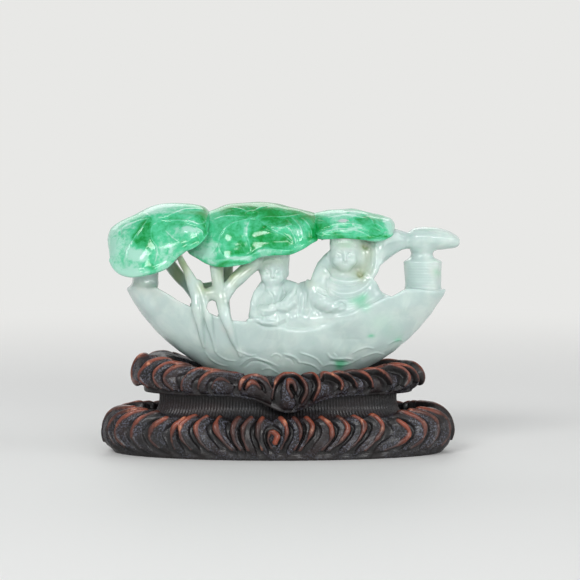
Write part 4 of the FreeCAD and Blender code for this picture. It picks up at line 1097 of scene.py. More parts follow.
def leaf_form(rows, reach, phase):
    """A drooping leaf: an arched sheet with a rolled lip, hollow underneath."""
    table = []
    for px, top, lip, share in rows:
        half = reach * share
        x, _, crown = place(px, top, 0)
        table.append((x, crown, place(px, lip, -half)[2], half))
    table = np.array(table)
    start, end = table[0, 0], table[-1, 0]

    def turned(x):
        share = np.clip((x - start) / (end - start), 0, 1)
        return np.arccos(1 - 2 * share)

    crown_at, lip_at, half_at = [through(turned(table[:, 0]), table[:, i]) for i in (1, 2, 3)]

    def wavy_half(x, y):
        wave = np.sin(edge_wave_turn * x + phase + np.where(y > 0, far_wave_turn, 0.0))
        return half_at(turned(x)) * (1 + edge_wave_share * wave)

    def wavy_lip(x, y):
        wave = far_lip_wave * np.sin(far_lip_turn * x + phase)
        return lip_at(turned(x)) + np.where(y > 0, wave, 0)

    def distance(x, y, z, pitch):
        crown, lip, half = crown_at(turned(x)), wavy_lip(x, y), np.maximum(wavy_half(x, y), least_half)
        tall = np.maximum(crown - lip, least_half)
        outside = (x < start) | (x > end)
        shape = np.sqrt((y / half) ** 2 + (np.maximum(z - lip, 0) / tall) ** 2) - 1
        shape = np.where(outside, shape + 1, shape)
        outer = even(shape, pitch)
        outer = np.where(outside, np.maximum(outer, pitch), outer)
        thin = 1 - thinner_share * np.clip((crown - z) / tall, 0, 1)
        shell = -joined(-outer, outer + leaf_thickness * thin, leaf_edge_blend)
        return -joined(-shell, z - lip, leaf_lip_blend)

    low = (start, -reach * leaf_reach_share, table[:, 2].min())
    high = (end, reach * leaf_reach_share, table[:, 1].max())
    lips = []
    for side in (-1, 1):
        path = []
        for share in np.linspace(lip_end_share, 1 - lip_end_share, lip_points):
            x = np.array(start + (end - start) * share)
            full = ramp(min(share, 1 - share), 0, 3 * lip_end_share)
            radius = leaf_lip_radius * (lip_thin_share + (1 - lip_thin_share) * full)
            y = side * (wavy_half(x, side) - radius * lip_aside_share)
            path.append((x, y, wavy_lip(x, side) + radius, radius))
        lips.append(limb(path))
    return (low, high, distance), lips


left_vein_px = (
    (0.2, 0.21, ((157.4, 218), (163, 217.3), (170.4, 215.7), (177, 212.4), (184.2, 209.6),
                 (195, 208.8), (208.5, 210.7))),
    (0.2, 0.21, ((160.4, 220.2), (176.5, 220.6), (191.8, 221.4), (200.2, 224), (207.5, 220.6))),
    (0.2, -0.21, ((174, 223.6), (186.5, 224), (195, 226), (201, 229))),
    (0.22, 0.24, ((158, 221.8), (152.8, 225.6), (150.9, 233.3), (152, 239.4), (156.6, 247),
                  (156.6, 256), (154, 265))),
    (0.22, 0.21, ((148, 220.3), (141.3, 227.9), (136, 234), (132.1, 240.9), (126.8, 250), (125.6, 258))),
    (0.19, 0.18, ((150, 219), (138, 221), (126, 226), (117, 233))),
    (0.19, 0.16, ((152, 217.6), (146, 214), (143, 211.5))),
    (0.29, 0.24, ((165, 230), (168, 233.4), (174, 238.6), (178, 241.5))),
    (0.32, -0.19, ((121, 227), (121, 234), (124, 242), (125, 250))),
    (0.19, -0.16, ((147, 247), (150, 251), (147, 256))),
    (0.26, 0.22, ((196, 228), (201, 232), (203, 238))),
    (0.22, -0.19, ((193, 229), (198, 234), (199, 240))),
    (0.26, 0.21, ((203, 222), (206.5, 228), (206.5, 234))),
    (0.32, 0.27, ((208, 212.5), (210.6, 220), (208.2, 231), (204, 238), (197, 245), (187, 250))),
)
left_swell_px = (
    (186, 231, 20, 5.5, 0.55), (139, 238, 9, 14, -0.5), (172, 246, 14, 12, 0.35), (118, 250, 7, 20, 0.3),
    (150, 262, 7, 14, -0.25), (182, 216, 22, 4, 0.25), (160, 229, 6, 6, -0.25),
)
middle_vein_px = (
    (0.22, 0.22, ((256, 218.4), (244.8, 220), (234.6, 222.8), (225.3, 229.2), (219.8, 236.6),
                  (218.4, 243.1))),
    (0.26, -0.27, ((220, 236.6), (217.8, 244), (214.4, 249.5), (211, 254.5))),
    (0.22, -0.22, ((218.6, 246), (220.2, 251), (223, 255))),
    (0.2, 0.19, ((262, 217.6), (267, 217.2), (278, 217.2), (290, 216.3), (300, 214.5))),
    (0.2, 0.16, ((246, 216.6), (238, 216.4), (231.8, 216.3), (222.6, 217.2), (214, 219.5))),
    (0.2, 0.16, ((254, 211.5), (260, 208.5), (268, 206.5))),
    (0.2, 0.16, ((248, 212), (240, 209), (230, 207.5))),
    (0.23, 0.21, ((258, 219), (264, 224), (272, 230), (284, 236), (292, 242))),
    (0.22, 0.18, ((250, 219.5), (247, 228), (247.5, 238), (250, 247), (250, 255))),
    (0.26, 0.29, ((291, 217), (296, 223), (301, 231), (303, 240))),
    (0.23, -0.24, ((288, 219), (293, 226), (297, 234), (298, 243))),
    (0.26, 0.27, ((285, 226), (291, 233), (295, 241), (295, 248))),
    (0.23, -0.21, ((296, 218), (302, 224), (306, 232), (307, 240))),
    (0.26, 0.24, ((301, 218), (307, 224), (310.6, 232), (311, 238))),
    (0.26, 0.21, ((266, 224.5), (274, 228), (284, 228.5), (292, 226))),
    (0.23, -0.19, ((262, 227), (270, 231.5), (280, 233.5))),
)
middle_ring_px, middle_ring_half_px = (252.2, 215.0), (6.4, 3.2)
middle_ring_width, middle_ring_height, middle_lip_width, middle_lip_height = 0.3, 0.24, 0.7, 0.4
middle_swell_px = (
    (284, 229, 20, 6, 0.5), (232, 250, 18, 6, -0.3), (246, 232, 6, 14, 0.3), (228, 232, 14, 10, 0.3),
    (272, 242, 20, 5, -0.35), (300, 236, 10, 10, 0.3), (206, 250, 8, 9, 0.3), (270, 209, 26, 5, 0.25),
)
middle_lip_px = (
    (204, 257), (208, 259.6), (216, 261), (225, 261), (235, 260.2), (243, 258.6), (250.3, 256.4),
    (258.6, 252), (267, 249.6), (278, 249.8), (289, 250.6), (297, 247),
)
right_vein_px = (
    (0.27, 0.27, ((318, 233.5), (327, 231.8), (338, 229.6), (350, 229.8), (361, 232.4), (369, 235.4))),
    (0.22, -0.24, ((322, 230), (334, 227), (348, 226.4), (360, 228.6), (370, 232.4))),
    (0.26, 0.24, ((330, 225.4), (340, 223.8), (352, 224), (363, 226.4))),
    (0.22, -0.21, ((333, 221.6), (344, 220), (356, 221))),
    (0.23, 0.19, ((328, 218), (340, 216), (354, 216.4), (366, 219))),
    (0.23, -0.22, ((330, 234), (342, 232.6), (354, 233.2), (366, 236.2))),
    (0.23, 0.24, ((313, 231), (319, 235), (324, 237))),
    (0.19, -0.16, ((351.5, 217), (352, 222), (353, 228))),
    (0.23, 0.22, ((367, 216), (371, 221), (374, 226))),
    (0.23, 0.24, ((375, 224), (380, 226.6), (383, 229))),
    (0.23, -0.19, ((373, 228), (378, 230), (383, 233))),
    (0.26, 0.21, ((382, 223), (387, 222), (391, 223.6))),
    (0.29, 0.27, ((372, 236.6), (378, 237.4), (383, 235.6), (386, 231.5))),
    (0.26, 0.24, ((306, 221), (309, 217.5), (314, 217), (316, 221), (312, 225))),
    (0.23, 0.21, ((308, 226), (311, 222), (315, 224.5))),
    (0.23, -0.21, ((318, 219), (325, 221), (329, 226))),
    (0.19, 0.16, ((346, 212.4), (358, 213), (370, 215.4))),
)
right_swell_px = (
    (352, 228, 22, 4, 0.3), (372, 222, 8, 6, 0.2), (324, 224, 10, 7, 0.25), (388, 227, 5, 8, 0.25),
)


# Pale lines of painted highlight along the raised veins: their width and strength
vein_highlight_width, vein_highlight_strength = 0.18, 0.42
round_line_runs = 24


def veined(veins, swells):
    relief = photo_relief()
    draw(relief, veins)
    for px, py, half_x, half_y, height in swells:
        relief.spot(on_plane(((px, py),))[0], (half_x * mm_per_px, half_y * mm_per_px), height)
    return relief


def round_line(middle, half):
    turns = np.linspace(0, math.tau, round_line_runs + 1)
    return [(middle[0] + half[0] * math.cos(t), middle[1] + half[1] * math.sin(t)) for t in turns]


# Far side of a leaf: a rib, built up from strokes of many lengths over each other, in mm
back_rib_count = 11
back_rib_spread = math.radians(200)
back_rib_shares = (0.1, 0.35, 0.65, 0.95)
back_rib_bend, back_rib_turn, back_rib_width, back_rib_height = 0.12, 2.3, 0.36, 0.26
back_ring_half, back_ring_width, back_ring_height = (1.4, 0.8), 0.3, 0.22
leaf_back_low, leaf_back_high = (-46.0, 38.0), (34.0, 66.0)
# Each leaf's rib: where it starts along the boat and up, and how far it reaches each way.
left_back, middle_back = (-28.0, 59.0, 13.0, 13.0), (-6.0, 59.5, 15.0, 12.0)
right_back = (18.0, 58.5, 9.5, 6.0)


def back_rib(middle_x, middle_z, reach_x, reach_z):
    relief = Relief(leaf_back_low, leaf_back_high)
    for run in range(back_rib_count):
        turn = (math.pi - back_rib_spread) / 2 + back_rib_spread * (run + 0.5) / back_rib_count
        bend = back_rib_bend * math.sin(back_rib_turn * run)
        lengths = [share * math.sin(turn + bend * share) for share in back_rib_shares]
        path = [(middle_x - reach_x * length, middle_z - reach_z * length) for length in lengths]
        relief.stroke(path, back_rib_width, back_rib_height)
    ring = round_line((middle_x, middle_z), back_ring_half)
    relief.stroke(ring, back_ring_width, back_ring_height, taper=False)
    return relief


leaf_ripple, leaf_ripple_length = 0.06, 6.5
leaf_thickness, leaf_lip_radius = 4.0, 0.72
leaf_green_wander, leaf_pale_wander = 0.45, 0.3
green_seed, pale_seed, ripple_seed = 41, 61, 51


def make_leaf(name, rows, reach, phase, veins, swells, back, key, extra=()):
    form, lips = leaf_form(rows, reach, phase)
    leaf = Clay(np.array(form[0]) - leaf_margin, np.array(form[1]) + leaf_margin, leaf_pitch)
    leaf.add(form, first_blend)
    for lip in lips:
        leaf.add(lip, rolled_lip_blend)
    points, outward, faces = leaf.skin()
    relief = veined(veins, swells)
    for points_px, width, height in extra:
        relief.stroke(on_plane(points_px), width, height, taper=False)
    green = stained(points, leaf_green_px[key], green_seed + len(rows), leaf_green_wander)
    # Pale: paler patches of the stone and painted highlights, with pale lines of painted highlight on the
    # near side of the raised veins.
    pale = stained(points, leaf_pale_and_highlight_px[key], pale_seed + len(rows), leaf_pale_wander)
    pale = pale + vein_highlight_at(points, veins) * ramp(-outward[:, 1], facing_start, facing_full)
    points = laid_on(points, outward, relief, back)
    uneven = leaf_ripple * ripples(points, leaf_ripple_length, ripple_seed + len(rows))
    points = points + outward * uneven[:, None]
    return make_mesh(name, points, faces, {"green": green, "pale": pale})


left_phase, middle_phase, right_phase = 0.4, 2.1, 3.3


def make_leaves():
    middle_extra = (
        (round_line(middle_ring_px, middle_ring_half_px), middle_ring_width, middle_ring_height),
        (middle_lip_px, middle_lip_width, middle_lip_height),
    )
    left = make_leaf(
        "lotus_leaf_left_carved", left_leaf_px, left_leaf_reach, left_phase, left_vein_px, left_swell_px,
        back_rib(*left_back), "left",
    )
    middle = make_leaf(
        "lotus_leaf_middle_carved", middle_leaf_px, middle_leaf_reach, middle_phase, middle_vein_px,
        middle_swell_px,
        back_rib(*middle_back), "middle", extra=middle_extra,
    )
    right = make_leaf(
        "lotus_leaf_right_carved", right_leaf_px, right_leaf_reach, right_phase, right_vein_px,
        right_swell_px,
        back_rib(*right_back), "right",
    )
    return left, middle, right


# Materials


def linear(red, green, blue):
    """A colour as seen on a screen, of 255, as the shader takes it."""
    def channel(value):
        share = value / 255
        return share / 12.92 if share <= 0.04045 else ((share + 0.055) / 1.055) ** 2.4
    return (channel(red), channel(green), channel(blue), 1.0)


jade_white = linear(207, 222, 216)
jade_cool = linear(191, 210, 206)
# Olive, for the stone's olive tone and for painted shade behind the openings and in recesses:
jade_olive_and_shade = linear(166, 176, 132)
leaf_pale = linear(168, 220, 200)
jade_mint = linear(80, 199, 149)
jade_emerald = linear(0, 152, 70)
jade_deep = linear(0, 116, 24)
jade_warm = linear(226, 218, 208)

wood_dark = linear(10, 7, 8)
wood_brown = linear(34, 18, 17)
wood_copper = linear(138, 66, 44)
# Pale peach, a painted highlight on the rubbed crests.
crest_painted_highlight = linear(224, 152, 118)
wood_dust = linear(86, 88, 101)
# Near black, for painted shade in the hollows and towards the foot.
painted_shade_black = (0.004, 0.003, 0.003, 1.0)
# The last is how far the painted shade in the hollows goes towards near black.
wood_roughness, rubbed_roughness, hollow_shade_strength = 0.55, 0.31, 0.85

floor_colour = linear(236, 236, 234)
backdrop_colour = linear(232, 232, 230)
backdrop_start, backdrop_end = 0.12, 0.5


class Nodes:
    """A material's nodes, made and linked by name."""

    def __init__(self, name):
        self.material = bpy.data.materials.new(name)
        self.material.use_nodes = True
        self.tree = self.material.node_tree
        self.shader = self.tree.nodes["Principled BSDF"]

    def node(self, kind, **settings):
        made = self.tree.nodes.new(kind)
        for key, value in settings.items():
            setattr(made, key, value)
        return made

    def link(self, start, end):
        self.tree.links.new(start, end)

    def place(self):
        return self.node("ShaderNodeTexCoord").outputs["Object"]

    def mark(self, name):
        return self.node("ShaderNodeAttribute", attribute_name=name).outputs["Fac"]

    def noise(self, scale, detail=4.0, rough=0.55, distortion=0.0):
        made = self.node("ShaderNodeTexNoise")
        made.inputs["Scale"].default_value = scale
        made.inputs["Detail"].default_value = detail
        made.inputs["Roughness"].default_value = rough
        made.inputs["Distortion"].default_value = distortion
        self.link(self.place(), made.inputs["Vector"])
        return made.outputs["Fac"]

    def between(self, value, low, high, to_low=0.0, to_high=1.0):
        made = self.node("ShaderNodeMapRange", interpolation_type="SMOOTHSTEP")
        self.link(value, made.inputs["Value"])
        for key, number in (("From Min", low), ("From Max", high), ("To Min", to_low), ("To Max", to_high)):
            made.inputs[key].default_value = number
        return made.outputs["Result"]

    def math(self, operation, a, b):
        made = self.node("ShaderNodeMath", operation=operation)
        for slot, value in enumerate((a, b)):
            if isinstance(value, (int, float)):
                made.inputs[slot].default_value = value
            else:
                self.link(value, made.inputs[slot])
        return made.outputs[0]

    def mix(self, factor, a, b):
        made = self.node("ShaderNodeMix", data_type="RGBA")
        for slot, value in ((0, factor), (6, a), (7, b)):
            if isinstance(value, (int, float, tuple)):
                made.inputs[slot].default_value = value
            else:
                self.link(value, made.inputs[slot])
        return made.outputs[2]

    def bump(self, height, strength, distance):
        made = self.node("ShaderNodeBump")
        made.inputs["Strength"].default_value = strength
        made.inputs["Distance"].default_value = distance
        self.link(height, made.inputs["Height"])
        self.link(made.outputs["Normal"], self.shader.inputs["Normal"])

    def set(self, **values):
        for key, value in values.items():
            self.shader.inputs[key.replace("_", " ")].default_value = value


def polish(nodes, roughness, ior, coat, glow, glow_depth):
    nodes.set(
        Roughness=roughness, IOR=ior, Subsurface_Weight=glow, Subsurface_Scale=glow_depth,
        Coat_Weight=coat, Coat_Roughness=0.1,
    )
    nodes.shader.inputs["Subsurface Radius"].default_value = (0.75, 1.0, 0.85)
    nodes.bump(nodes.noise(900.0, 3.0), 0.12, 0.0002)


def pale_jade():
    nodes = Nodes("pale_jade_polished")
    cloud = nodes.noise(150.0, 5.0, 0.6, 0.6)
    base = nodes.mix(nodes.between(cloud, 0.38, 0.68), jade_cool, jade_white)
    warm = nodes.between(nodes.noise(60.0, 3.0), 0.6, 0.74, 0.0, 0.35)
    base = nodes.mix(warm, base, jade_warm)
    flecks = nodes.between(nodes.noise(240.0, 4.0), 0.62, 0.8, 0.0, 0.14)
    green = nodes.math("ADD", nodes.mark("green"), flecks)
    base = nodes.mix(nodes.between(green, 0.0, 1.0), base, jade_mint)
    base = nodes.mix(nodes.between(green, 0.45, 1.1), base, jade_emerald)
    # Olive: the stone's olive tone, and painted shade behind the openings and in recesses.
    olive_and_shade = nodes.math("MULTIPLY", nodes.mark("olive_and_shade"), 0.8)
    base = nodes.mix(olive_and_shade, base, jade_olive_and_shade)
    nodes.link(base, nodes.shader.inputs["Base Color"])
    polish(nodes, roughness=0.18, ior=1.6, coat=0.25, glow=0.45, glow_depth=0.003)
    return nodes.material


def green_jade():
    nodes = Nodes("green_jade_polished")
    clouds = nodes.between(nodes.noise(260.0, 6.0, 0.65, 0.9), 0.3, 0.75, -0.2, 0.25)
    flecks = nodes.between(nodes.noise(900.0, 3.0, 0.6, 0.6), 0.35, 0.7, -0.14, 0.14)
    green = nodes.math("ADD", nodes.math("ADD", nodes.mark("green"), clouds), flecks)
    # The pale mark holds paler stone and painted highlights, the vein lines among them.
    green = nodes.math("SUBTRACT", green, nodes.mark("pale"))
    base = nodes.mix(nodes.between(green, -0.25, 0.4), leaf_pale, jade_mint)
    base = nodes.mix(nodes.between(green, 0.25, 1.15), base, jade_emerald)
    base = nodes.mix(nodes.between(green, 0.85, 1.6), base, jade_deep)
    nodes.link(base, nodes.shader.inputs["Base Color"])
    polish(nodes, roughness=0.13, ior=1.5, coat=0.1, glow=0.2, glow_depth=0.0012)
    return nodes.material


def dark_wood():
    nodes = Nodes("carved_wood_lacquered")
    grain = nodes.node("ShaderNodeTexNoise")
    grain.inputs["Scale"].default_value = 220.0
    grain.inputs["Detail"].default_value = 5.0
    stretch = nodes.node("ShaderNodeMapping")
    stretch.inputs["Scale"].default_value = (0.25, 1.0, 1.0)
    nodes.link(nodes.place(), stretch.inputs["Vector"])
    nodes.link(stretch.outputs["Vector"], grain.inputs["Vector"])
    base = nodes.mix(nodes.between(grain.outputs["Fac"], 0.35, 0.7), wood_dark, wood_brown)
    speckle = nodes.between(nodes.noise(2400.0, 2.0), 0.48, 0.62)
    patchy = nodes.between(nodes.noise(180.0, 3.0), 0.35, 0.65)
    dust = nodes.math("MULTIPLY", nodes.math("MULTIPLY", speckle, patchy), nodes.mark("dust"))
    base = nodes.mix(dust, base, wood_dust)
    rubbed = nodes.between(nodes.noise(300.0, 4.0), 0.25, 0.6, 0.5, 1.0)
    worn = nodes.math("MULTIPLY", nodes.mark("crest"), rubbed)
    base = nodes.mix(worn, base, wood_copper)
    # Pale peach patches on the rubbed crests: painted highlights.
    painted_highlight = nodes.math("MULTIPLY", worn, nodes.between(nodes.noise(420.0, 3.0), 0.55, 0.75))
    base = nodes.mix(painted_highlight, base, crest_painted_highlight)
    # Painted shade: near black in the hollows and towards the foot of the ring.
    shaded = nodes.math("MULTIPLY", nodes.mark("hollow"), hollow_shade_strength)
    base = nodes.mix(shaded, base, painted_shade_black)
    nodes.link(base, nodes.shader.inputs["Base Color"])
    smoother = nodes.math("MULTIPLY", worn, wood_roughness - rubbed_roughness)
    nodes.link(nodes.math("SUBTRACT", wood_roughness, smoother), nodes.shader.inputs["Roughness"])
    nodes.set(IOR=1.45, Coat_Weight=0.28, Coat_Roughness=0.2)
    nodes.bump(nodes.noise(1100.0, 3.0), 0.5, 0.0004)
    return nodes.material


def stage_material():
    """A pale floor that turns into an evenly pale backdrop away from the object."""
    nodes = Nodes("pale_floor")
    nodes.set(Base_Color=floor_colour, Roughness=0.6)
    rays = nodes.node("ShaderNodeLightPath").outputs
    watched = nodes.math("MAXIMUM", rays["Is Camera Ray"], rays["Is Glossy Ray"])
    watched = nodes.math("MAXIMUM", watched, rays["Is Transmission Ray"])
    away = nodes.node("ShaderNodeVectorMath", operation="LENGTH")
    nodes.link(nodes.place(), away.inputs[0])
    beyond = nodes.between(away.outputs["Value"], backdrop_start, backdrop_end)
    glow = nodes.node("ShaderNodeEmission")
    glow.inputs["Color"].default_value = backdrop_colour
    mixed = nodes.node("ShaderNodeMixShader")
    nodes.link(nodes.math("MULTIPLY", watched, beyond), mixed.inputs[0])
    nodes.link(nodes.shader.outputs[0], mixed.inputs[1])
    nodes.link(glow.outputs[0], mixed.inputs[2])
    nodes.link(mixed.outputs[0], nodes.tree.nodes["Material Output"].inputs["Surface"])
    return nodes.material


# Stand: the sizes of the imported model

foot_outside, foot_inside = (44.1, 19.2), (33.1, 13.3)
foot_ring_height, foot_ring_end_rise = 10.0, 1.7
foot_floor_thickness = 8.4
rim_outside, rim_inside = (36.1, 15.6), (26.4, 10.2)
rim_under_height, tray_top_height, rim_ring_height = 15.2, 19.6, 5.3
rim_bow_rise, rim_stern_rise = 4.9, 2.2
rim_curl_drop, rim_curl_reach, rim_curl_offset = 4.0, 7.5, 3.0
waist_half = (29.8, 10.0)
flute_pitch = 0.78

# Each pair: share of the ring's width from its outside, share of its height, from the crown outwards and
# down.
ring_outline_shares = (
    (0.84, 0.93), (0.66, 0.99), (0.48, 1.0), (0.31, 0.94), (0.17, 0.84), (0.08, 0.72), (0.03, 0.6),
    (0.0, 0.48), (0.0, 0.36), (0.03, 0.24), (0.09, 0.12), (0.2, 0.03),
)
ring_under_share = 0.28
ring_crown_row = 2

# Each crest: the side that its face lies on, then the points (x, z) of its line on the near side.
foot_crests = (
    (-1, (-44.0, 2.8), (-44.1, 6.5), (-43.9, 10.3), (-41.1, 12.1)),
    (-1, (-40.9, 2.7), (-42.3, 5.9), (-41.7, 9.5), (-39.2, 12.1)),
    (-1, (-38.2, 2.5), (-40.1, 4.8), (-40.0, 8.3), (-37.7, 11.2)),
    (-1, (-34.1, 2.4), (-35.9, 5.2), (-35.8, 8.7), (-34.0, 10.8)),
    (-1, (-29.3, 2.7), (-31.3, 5.0), (-31.3, 7.5), (-29.5, 9.6)),
    (-1, (-25.3, 2.6), (-26.0, 5.5), (-25.8, 8.0), (-25.0, 9.7)),
    (-1, (-21.3, 2.8), (-23.6, 5.6), (-24.5, 8.5), (-23.3, 11.5)),
    (-1, (-16.9, 2.7), (-19.4, 5.5), (-20.6, 8.7), (-19.8, 11.6)),
    (-1, (-11.1, 2.8), (-13.5, 5.2), (-15.7, 8.3), (-16.2, 11.0)),
    (-1, (-9.1, 2.8), (-10.6, 5.2), (-11.3, 8.1), (-10.8, 10.8)),
    (-1, (-7.2, 2.8), (-8.4, 5.7), (-8.6, 8.4), (-7.4, 11.1)),
    (-1, (-3.8, 2.9), (-4.8, 5.8), (-5.0, 8.2), (-4.3, 10.2)),
    (-1, (-1.4, 3.3), (-2.3, 5.3), (-1.6, 7.2), (-0.1, 6.3), (-0.6, 4.8)),
    (1, (0.8, 3.1), (2.0, 5.8), (2.3, 8.2), (0.8, 10.4)),
    (1, (4.0, 2.9), (5.4, 5.3), (5.7, 8.2), (4.5, 10.9)),
    (1, (5.4, 2.8), (7.6, 5.7), (8.8, 8.7), (8.1, 11.3)),
    (1, (10.8, 2.8), (12.9, 5.2), (13.4, 8.1), (12.2, 10.8)),
    (1, (12.7, 2.7), (15.6, 5.1), (17.6, 8.0), (16.8, 11.2)),
    (1, (17.3, 2.6), (20.0, 5.5), (22.0, 8.9), (21.2, 12.1)),
    (1, (21.5, 2.5), (24.4, 5.4), (26.4, 8.0), (26.4, 10.9)),
    (1, (26.4, 2.3), (30.4, 4.1), (32.4, 6.4), (31.1, 9.0)),
    (1, (32.9, 2.5), (35.7, 4.7), (36.7, 8.1), (34.7, 11.5)),
    (1, (37.5, 2.3), (39.3, 4.9), (40.1, 8.3), (37.5, 12.0)),
    (1, (41.0, 2.5), (42.6, 5.0), (42.9, 8.3), (40.2, 12.2)),
)
rim_crests = (
    (-1, (-34.5, 17.6), (-36.1, 19.4), (-36.1, 22.0), (-34.0, 24.2)),
    (-1, (-32.7, 17.1), (-34.3, 19.4), (-33.4, 22.2), (-31.1, 24.7), (-28.0, 26.1)),
    (-1, (-29.0, 16.9), (-30.6, 19.5), (-29.5, 22.8), (-26.5, 24.7), (-23.0, 24.8)),
    (-1, (-26.2, 17.0), (-28.0, 19.4), (-27.0, 21.9), (-24.5, 23.5)),
    (-1, (-23.7, 16.9), (-23.2, 19.9), (-21.5, 21.9), (-19.0, 23.0), (-15.5, 23.0), (-12.1, 22.4),
     (-9.7, 20.7)),
    (-1, (-19.5, 17.1), (-19.0, 19.3), (-17.3, 21.0), (-14.8, 21.6), (-12.1, 20.7)),
    (-1, (-16.0, 17.4), (-15.6, 18.9), (-13.8, 19.4), (-11.9, 18.7)),
    (-1, (-9.2, 17.3), (-8.9, 19.2), (-7.0, 20.2), (-4.5, 20.0), (-2.6, 19.0), (-1.4, 17.3)),
    (-1, (-7.7, 17.5), (-6.7, 18.8), (-5.3, 18.5), (-4.3, 17.6)),
    (1, (-1.4, 15.1), (-0.4, 19.0), (1.8, 21.0), (4.5, 21.2), (6.4, 19.5), (7.1, 16.8), (5.9, 14.1)),
    (1, (3.5, 15.6), (2.5, 17.6), (2.8, 19.0), (4.0, 18.8), (4.5, 17.1)),
    (1, (6.9, 20.5), (7.9, 22.2), (9.6, 21.2), (10.3, 18.2), (8.9, 14.8)),
    (1, (10.8, 19.5), (12.8, 20.9), (14.7, 20.1), (15.9, 18.4), (15.5, 17.2)),
    (1, (14.7, 20.6), (16.9, 21.3), (18.6, 20.0), (19.4, 17.8)),
    (1, (18.1, 21.5), (20.6, 22.2), (22.6, 20.6), (23.3, 17.7)),
    (1, (22.6, 21.9), (25.1, 22.8), (26.8, 21.2), (27.9, 18.2)),
    (1, (25.6, 23.0), (28.6, 23.6), (31.4, 22.2), (32.7, 19.6), (31.4, 17.2)),
    (1, (29.8, 23.5), (32.4, 22.8), (34.5, 20.7), (34.8, 18.1)),
)

foot_crest_half_width, rim_crest_half_width = 0.58, 0.38
crest_height = 0.8
crest_step = 0.3
face_reach = 2.3
ground_depth = 0.45
hollow_depth = 1.3
hollow_reach = 0.45
crest_wander, crest_wander_length = 0.09, 3.0
wear_length, foot_shade_height = 8.0, 2.6
crest_line_step = 0.5
wall_fade_share, under_fade_share = 0.04, 0.05
# How wide and how bare a crest is: at its foot, gained at its head, and where along it the gain starts and
# ends; or at its ends, and gained in its middle.
head_width_shares, middle_width_shares = (0.4, 0.75, 0.1, 0.85), (0.65, 0.5)
head_wear_shares, middle_wear_shares = (0.15, 0.85, 0.2, 0.85), (0.25, 0.75)
crest_fall_share, face_drop = 0.45, 0.25
edge_start_share, edge_end_share = 0.8, 1.25
# Shares of dust in the hollows, of painted shade on the faces and at the foot, and of the least wear.
hollow_dust_share, face_shade_share, foot_shade_share, least_worn_share = 0.25, 0.2, 0.75, 0.25
bare_low, bare_high = -1.1, 0.7
foot_seed, rim_seed = 71, 81
foot_columns, foot_rows, rim_columns, rim_rows = 1150, 125, 1000, 105


def around(half, count):
    """Turns round an oval that divide its edge evenly, how far along each lies, and the whole length."""
    fine = np.linspace(0, math.tau, 20001)
    runs = np.hypot(np.diff(half[0] * np.cos(fine)), np.diff(half[1] * np.sin(fine)))
    lengths = np.concatenate(([0], np.cumsum(runs)))
    places = np.linspace(0, lengths[-1], count, endpoint=False)
    return np.interp(places, lengths, fine), places, lengths[-1]


def on_oval(half, turns):
    return np.stack((half[0] * np.cos(turns), half[1] * np.sin(turns)), 1)


class Ring:
    """The plain rounded body of a wave ring between two ovals.

    A place on it is how far along its outside it lies, and how far out and down from its inner wall.
    """

    def __init__(self, outside, inside, low_at, high_at, wall_low, wall_high, columns, rows):
        self.outside, self.low_at, self.high_at = outside, low_at, high_at
        self.wall_low, self.wall_high = wall_low, wall_high
        self.turns, self.places, self.length = around(outside, columns)
        edge, self.wall = on_oval(outside, self.turns), on_oval(inside, self.turns)
        width = np.linalg.norm(edge - self.wall, axis=1)[:, None]
        outward = (edge - self.wall) / width
        low, high = low_at(self.turns)[:, None], high_at(self.turns)[:, None]
        side = np.array((math.pi / 2,))
        tall = (high_at(side) - low_at(side))[0]
        wall, under = (1.0, (wall_high - wall_low) / tall), (ring_under_share, 0.0)
        outline = np.array((wall, *ring_outline_shares, under))
        steps = np.diff(outline, axis=0) * ((outside[1] - inside[1]), tall)
        self.known = np.concatenate(([0], np.cumsum(np.linalg.norm(steps, axis=1))))
        outline[1:-1] = (outline[:-2] + 4 * outline[1:-1] + outline[2:]) / 6
        self.across = np.linspace(0, self.known[-1], rows)
        depth, up = [through(self.known, outline[:, i])(self.across)[None, :] for i in (0, 1)]
        flat = edge[:, None] - outward[:, None] * (width * depth)[..., None]
        z = low + (high - low) * np.maximum(up, 0)
        inmost = 1 - ramp(self.across, 0, self.known[1])[None, :]
        z = z + (wall_high - z) * inmost
        self.grid = np.concatenate((flat, z[..., None]), 2)

    def near_place(self, x, z):
        """The place on the ring's near side at one height, at one distance along the boat."""
        turn = np.array((math.tau - math.acos(x / self.outside[0]),))
        place = np.interp(turn[0], self.turns, self.places)
        low, high = self.low_at(turn)[0], self.high_at(turn)[0]
        below_crown = 1 - np.array(ring_outline_shares)[ring_crown_row:, 1]
        down = np.concatenate((below_crown, (1.0,)))
        return place, np.interp((high - z) / (high - low), down, self.known[ring_crown_row + 1:])

    def crest_lines(self, crests):
        """Each crest's line on the near side, and its copy half-way round on the far side."""
        lines = []
        for face_side, *points in crests:
            near = np.array([self.near_place(x, z) for x, z in points])
            for shift in (0, self.length / 2):
                lines.append((face_side, smooth_path(near + (shift, 0), crest_line_step)))
        return lines


